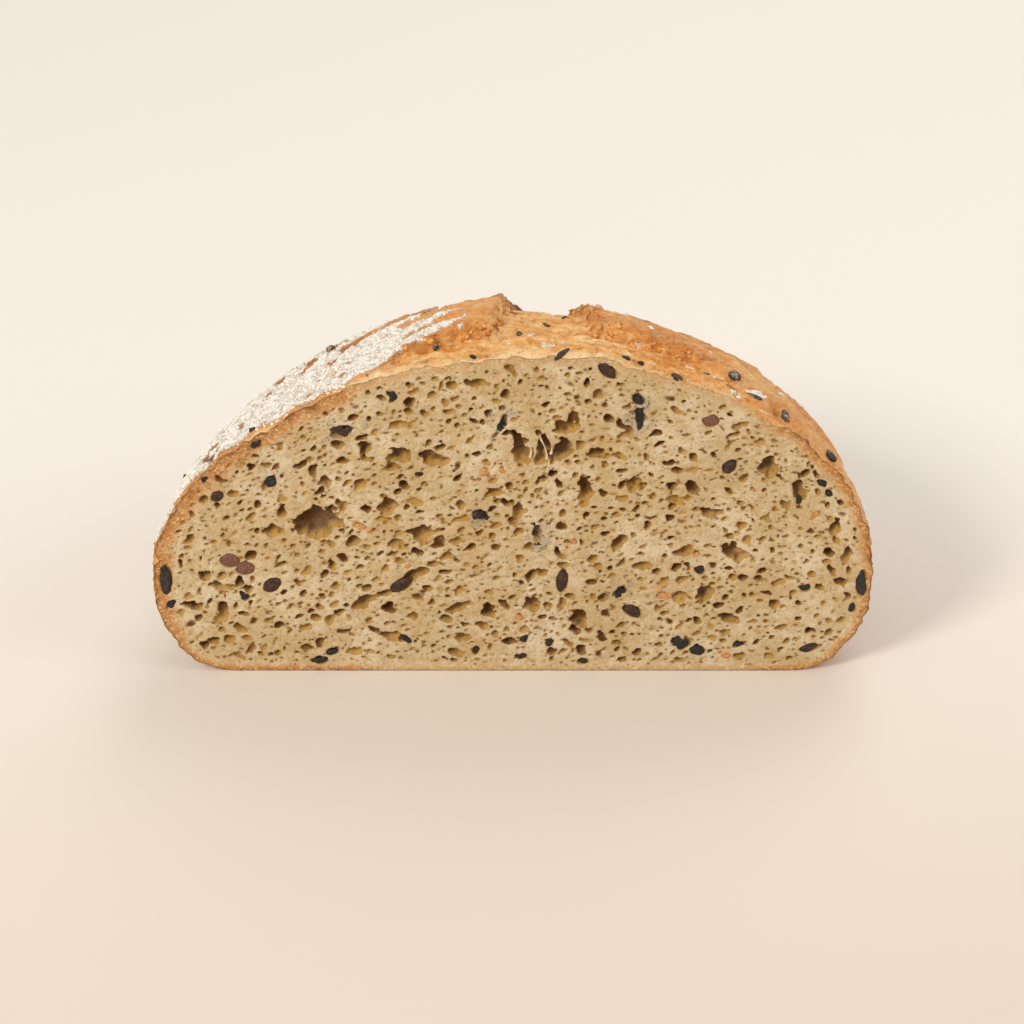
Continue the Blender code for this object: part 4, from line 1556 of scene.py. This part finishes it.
@dataclass
class Scatter:
    """Small bits strewn over a surface by a rule: flour lumps or flakes of crust.

    The density is in bits a square millimetre, at a mask of 1. Bits lie from the lowest height upwards and
    lean out of the surface by up to the stand, in radians.
    """

    name: str
    mask: str
    density: float
    half_size: tuple[float, float, float]
    spread: tuple[float, float]
    stand: float
    dent: float
    seed: int
    low_mask: float
    lowest: float = 3.0
    taper: float = 0.15

    def build(self, surface: bpy.types.Object, material: bpy.types.Material) -> bpy.types.Object:
        """Strews the bits over the surface, denser where its mask is stronger.

        Args:
            surface: The piece that the bits lie on.
            material: Their finish.

        Returns:
            The joined bits.
        """
        recipe = NodeRecipe(self.name + "_recipe")
        density = recipe.give("Density", "NodeSocketFloat", self.density / MM**2)
        seed = recipe.give("Seed", "NodeSocketInt", self.seed)
        stand = recipe.give("Stand", "NodeSocketFloat", self.stand)
        height = recipe.axis(recipe.node("GeometryNodeInputPosition"), 2)
        off_floor = height.between(self.lowest * MM, 2 * self.lowest * MM)
        above = (recipe.carried(self.mask, "FLOAT") - self.low_mask).most(0.0) / (1 - self.low_mask)
        inputs = {"Mesh": recipe.host, "Density": off_floor * above * density, "Seed": seed}
        points = recipe.node("GeometryNodeDistributePointsOnFaces", {"distribute_method": "RANDOM"}, inputs)
        facing = Socket(recipe, points.output.node.outputs["Rotation"])
        spin = recipe.drawn(-math.pi, math.pi, 3, ID=recipe.node("GeometryNodeInputIndex"))
        lean = recipe.drawn(0.0, 1.0, 5) * stand
        tilt = recipe.node("ShaderNodeCombineXYZ", inputs={0: lean, 1: 0.0, 2: spin})
        local = recipe.node("FunctionNodeEulerToRotation", inputs={0: tilt})
        turn = recipe.node("FunctionNodeRotateRotation", {"rotation_space": "LOCAL"}, {0: facing, 1: local})
        smallest, largest = (tuple(value * share * MM for value in self.half_size) for share in self.spread)
        form = Pebble(detail=1, taper=self.taper, dent_size=max(self.half_size) * 0.8, dent=self.dent,
                      material=material)
        bits = recipe.pebbles(points, turn, recipe.drawn(smallest, largest, 7), form)
        return recipe.apply(surface, bits, self.name)


@dataclass
class Seeds:
    """All seeds and grains, in the cut face and on the crust."""

    form: LoafForm
    cut_seeds: list[SeedPlace]
    crust: bpy.types.Object
    half_thickness: float = 0.6
    sunk_share: float = 0.7
    crushed_stain: float = 0.8
    crushed_parts: int = 5
    crushed_shares: tuple = (0.3, 0.6)
    crushed_spread: float = 1.1
    crust_seeds: int = 52
    crust_sizes: tuple = (0.75, 1.1)
    clear_of_cut: float = 3.0
    clear_of_floor: float = 6.0
    bedded_share: float = 0.3
    BY_THE_CUT = (
        ("flax", 44.0, 2.4), ("flax", 65.0, 9.0), ("flax", 73.5, 8.0), ("flax", 13.0, 1.8),
        ("nigella", 30.0, 5.0), ("nigella", 33.6, 4.2), ("pale_grain", 27.4, 17.0), ("pale_grain", 8.6, 7.0),
        ("nigella", -69.6, 3.0), ("nigella", -10.4, 3.6), ("nigella", 52.0, 14.0), ("nigella", -20.0, 14.0),
        ("flax", 9.0, 34.0), ("nigella", 2.0, 24.0), ("nigella", 15.0, 46.0),
    )
    ON_CRUST = (SeedKind.NIGELLA,) * 6 + (SeedKind.FLAX,) * 3 + (SeedKind.SUNFLOWER, SeedKind.PALE_GRAIN)
    HALF_SIZES = {SeedKind.FLAX: (2.9, 1.4, 0.8), SeedKind.NIGELLA: (1.5, 0.95, 0.8),
                  SeedKind.SUNFLOWER: (4.6, 1.9, 1.1), SeedKind.PALE_GRAIN: (2.4, 1.1, 0.8)}
    TURN_STEP, SHARE_STEP = 0.7548776662, 0.5698402910

    def build(self) -> list[bpy.types.Object]:
        """Places the seeds and makes one piece of each kind.

        Returns:
            The pieces.
        """
        placings = {kind: Placing() for kind in SeedKind}
        self._in_cut(placings)
        self._on_crust(placings)
        filled = [(kind, placing) for kind, placing in placings.items() if placing.places]
        return [placed_pieces(placing, SEED_LOOKS[kind]) for kind, placing in filled]

    def _in_cut(self, placings: dict[SeedKind, Placing]) -> None:
        """Beds the named seeds in the cut face, and breaks up the ones that the knife crushed."""
        draw = np.random.default_rng(SEED + 9)
        for seed in self.cut_seeds:
            crushed = seed.stain >= self.crushed_stain
            for part in range(self.crushed_parts if crushed else 1):
                share = draw.uniform(*self.crushed_shares) if crushed else 1.0
                spread = self.crushed_spread if crushed and part else 0.0
                slant = math.radians(seed.slant + draw.normal(0, 8 + 40 * spread))
                x = seed.x + draw.normal(0, spread * seed.length * 0.6)
                z = seed.z + draw.normal(0, spread * seed.width * 0.6)
                along = Vector((math.cos(slant), draw.uniform(-0.15, 0.15), math.sin(slant)))
                length, width = seed.length * share, seed.width * share
                thick = min(self.half_thickness, length, width)
                depth = self.sunk_share * thick + draw.uniform(-0.1, 0.1)
                place = Vector((x * MM, CUT_Y + depth * MM, z * MM))
                placings[seed.kind].add(place, Vector((0, -1, 0)), along, (length, width, thick))

    def _on_crust(self, placings: dict[SeedKind, Placing]) -> None:
        """Lays the seeds that show by the cut, and spreads the rest over the crust on a spiral."""
        draw = np.random.default_rng(SEED + 5)
        wanted = []
        for kind, x, y in self.BY_THE_CUT:
            start = Vector(to_frame(np.array([[x, y, 2 * self.form.height]]))[0])
            _, place, facing, _ = self.crust.ray_cast(start, Vector((0, 0, -1)))
            wanted.append((SeedKind(kind), place, facing))
        step = 0
        while len(wanted) < self.crust_seeds:
            step += 1
            azimuth = np.array([math.pi * ((step * self.TURN_STEP) % 1.0)])
            share = np.array([0.95 * math.sqrt((step * self.SHARE_STEP) % 1.0)])
            point, outward = self.form.smooth(azimuth, share)
            if point[0, 1] < self.clear_of_cut or point[0, 2] < self.clear_of_floor:
                continue
            near = Vector(to_frame(point + outward * 3.0)[0])
            _, place, facing, _ = self.crust.closest_point_on_mesh(near)
            wanted.append((self.ON_CRUST[int(draw.integers(len(self.ON_CRUST)))], place, facing))
        for kind, place, facing in wanted:
            size = draw.uniform(*self.crust_sizes)
            half_size = tuple(value * size for value in self.HALF_SIZES[kind])
            angle = draw.uniform(0, math.pi)
            along = facing.orthogonal().normalized() * math.cos(angle)
            along += facing.cross(facing.orthogonal()).normalized() * math.sin(angle)
            sunk = place - facing * half_size[2] * self.bedded_share * MM
            placings[kind].add(sunk, facing, along, half_size)


@dataclass
class Strands:
    """Thin strands of crumb that bridge the torn holes of the cut face, each from one (x, z) to another."""

    colours: BreadColours
    radius: float = 0.26
    corners: int = 9
    bow: float = 0.5
    places: tuple = ((4.2, 76.6, 4.9, 68.6), (7.2, 75.2, 9.4, 68.2), (10.0, 74.6, 10.4, 69.8),
                     (58.6, 62.0, 60.0, 59.4), (66.4, 58.8, 65.0, 57.4), (-22.8, 15.0, -22.4, 12.6))

    def build(self) -> bpy.types.Object:
        """Makes all strands as one mesh.

        Returns:
            The joined strands.
        """
        curve = bpy.data.curves.new("strand_lines", "CURVE")
        curve.dimensions = "3D"
        curve.bevel_depth = self.radius * MM
        curve.bevel_resolution = 2
        curve.use_fill_caps = True
        for x, z, end_x, end_z in self.places:
            line = curve.splines.new("POLY")
            line.points.add(self.corners - 1)
            for point, share in zip(line.points, np.linspace(0, 1, self.corners)):
                bow = math.sin(math.pi * share)
                place = (x + (end_x - x) * share + self.bow * bow, 0.5 - 0.2 * bow, z + (end_z - z) * share)
                point.co = (*to_frame(np.array([place]))[0], 1.0)
                point.radius = 1.9 - 1.3 * bow
        holder = add_object("strand_lines", curve)
        graph = bpy.context.evaluated_depsgraph_get()
        mesh = bpy.data.meshes.new_from_object(holder.evaluated_get(graph))
        bpy.data.objects.remove(holder)
        mesh.materials.clear()
        look = Finish("strand_finish")
        tint = look.noise(0.8, detail=3.0)
        colour = look.mix(tint.between(0.35, 0.65), self.colours.crumb, self.colours.crumb_light)
        mesh.materials.append(look.finish(colour, 0.7, tint, 0.2))
        return add_object("crumb_strands", mesh)


def flour_finish(colours: BreadColours) -> bpy.types.Material:
    """Caked flour: off-white, with creamier and greyer lumps.

    Args:
        colours: The loaf's colours.

    Returns:
        The finished material.
    """
    look = Finish("flour_lump_finish")
    tint = look.noise(1.6, detail=4.0, rough=0.6)
    colour = look.mix(tint.between(0.52, 0.8) * 0.8, colours.flour, colours.dusty)
    return look.finish(colour, 0.95, tint, 0.25, {"Specular IOR Level": 0.15})


def flake_finish(colours: BreadColours) -> bpy.types.Material:
    """Flakes of torn crust: golden with browned edges.

    Args:
        colours: The loaf's colours.

    Returns:
        The finished material.
    """
    look = Finish("flake_finish")
    tint = look.noise(2.0, detail=4.0, rough=0.6)
    stops = ((0.0, colours.brown), (0.5, colours.golden), (1.0, colours.pale_golden))
    return look.finish(look.ramp(tint.between(0.3, 0.7), stops), 0.7, tint, 0.25, {"Specular IOR Level": 0.3})


@dataclass
class Studio:
    """A plain pale floor, soft light and the camera."""

    elevation: float = 31.0
    lens: float = 100.0
    distance: float = 0.78
    target: tuple = (0.0, -0.042, 0.047)
    floor_size: float = 4.0
    floor_colour: tuple = linear(238, 231, 222)
    near_shade_colour: tuple = linear(222, 208, 192)
    world_colour: tuple = (1.0, 0.975, 0.94, 1.0)
    LIGHTS = (
        ("key_light", (-0.85, -0.95, 1.0), 0.4, 13.0, (1.0, 0.965, 0.91)),
        ("fill_light", (1.2, -0.35, 0.8), 1.0, 5.0, (1.0, 0.98, 0.95)),
        ("back_light", (0.35, 0.85, 1.25), 1.0, 7.5, (1.0, 0.97, 0.93)),
    )

    def build(self) -> None:
        """Makes the floor, the surrounding, the square lights and the camera in front of the cut face."""
        self._floor()
        world = bpy.data.worlds.new("studio")
        world.use_nodes = True
        background = world.node_tree.nodes["Background"]
        background.inputs["Color"].default_value = self.world_colour
        background.inputs["Strength"].default_value = 0.5
        for name, place, size, power, colour in self.LIGHTS:
            lamp = bpy.data.lights.new(name, "AREA")
            lamp.size = size
            lamp.energy = power
            lamp.color = colour
            self._aimed(name, lamp, Vector(place))
        lens = bpy.data.cameras.new("camera")
        lens.lens = self.lens
        lift = math.radians(self.elevation)
        away = Vector((0, -math.cos(lift), math.sin(lift))) * self.distance
        scene = bpy.context.scene
        scene.camera = self._aimed("camera", lens, Vector(self.target) + away)
        scene.world = world
        scene.view_settings.view_transform = "Standard"

    def _aimed(self, name: str, data: bpy.types.ID, place: Vector) -> bpy.types.Object:
        """Adds a light or the camera at a place in metres, turned to the loaf."""
        made = add_object(name, data)
        made.location = place
        made.rotation_euler = (Vector(self.target) - place).to_track_quat("-Z", "Y").to_euler()
        return made

    def _floor(self) -> None:
        """Makes the floor, with painted shade that darkens it a little in front."""
        mesh = bpy.data.meshes.new("floor")
        bm = bmesh.new()
        bmesh.ops.create_grid(bm, x_segments=2, y_segments=2, size=self.floor_size)
        bm.to_mesh(mesh)
        bm.free()
        look = Finish("floor_finish")
        # Painted shade: the floor darkens towards the camera.
        colour = look.mix(look.axis(look.place, 1).between(-0.24, 0.1), self.near_shade_colour, self.floor_colour)
        mesh.materials.append(look.finish(colour, 0.9))
        add_object("floor", mesh)


def register(piece: bpy.types.Object) -> None:
    """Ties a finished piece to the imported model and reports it."""
    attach(piece, BODY)
    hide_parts(SOLID)
    LOG.info("%s: %d faces", piece.name, len(piece.data.polygons))


def main() -> None:
    """Builds every piece in order."""
    logging.basicConfig(level=logging.INFO, format="%(name)s: %(message)s")
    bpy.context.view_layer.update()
    colours = BreadColours()
    form = LoafForm.from_frame()
    Studio().build()
    crust_maker = Crust(form, colours)
    crust = crust_maker.build()
    outline = crust_maker.outline
    lumps = Scatter("flour_lumps", mask="flour", low_mask=0.45, density=0.6, half_size=(0.42, 0.38, 0.22),
                    spread=(0.4, 1.6), stand=0.3, dent=0.5, seed=41)
    flakes = Scatter("crust_flakes", mask="flaky", low_mask=0.2, density=0.12, half_size=(1.4, 0.8, 0.18),
                     spread=(0.5, 1.3), stand=0.8, dent=0.8, seed=43)
    pieces = [
        crust,
        Crumb(form, colours, outline).build(),
        *Seeds(form, CutFace(form, outline).seeds(), crust).build(),
        Strands(colours).build(),
        lumps.build(crust, flour_finish(colours)),
        flakes.build(crust, flake_finish(colours)),
    ]
    for piece in pieces:
        register(piece)


if __name__ == "__main__":
    main()
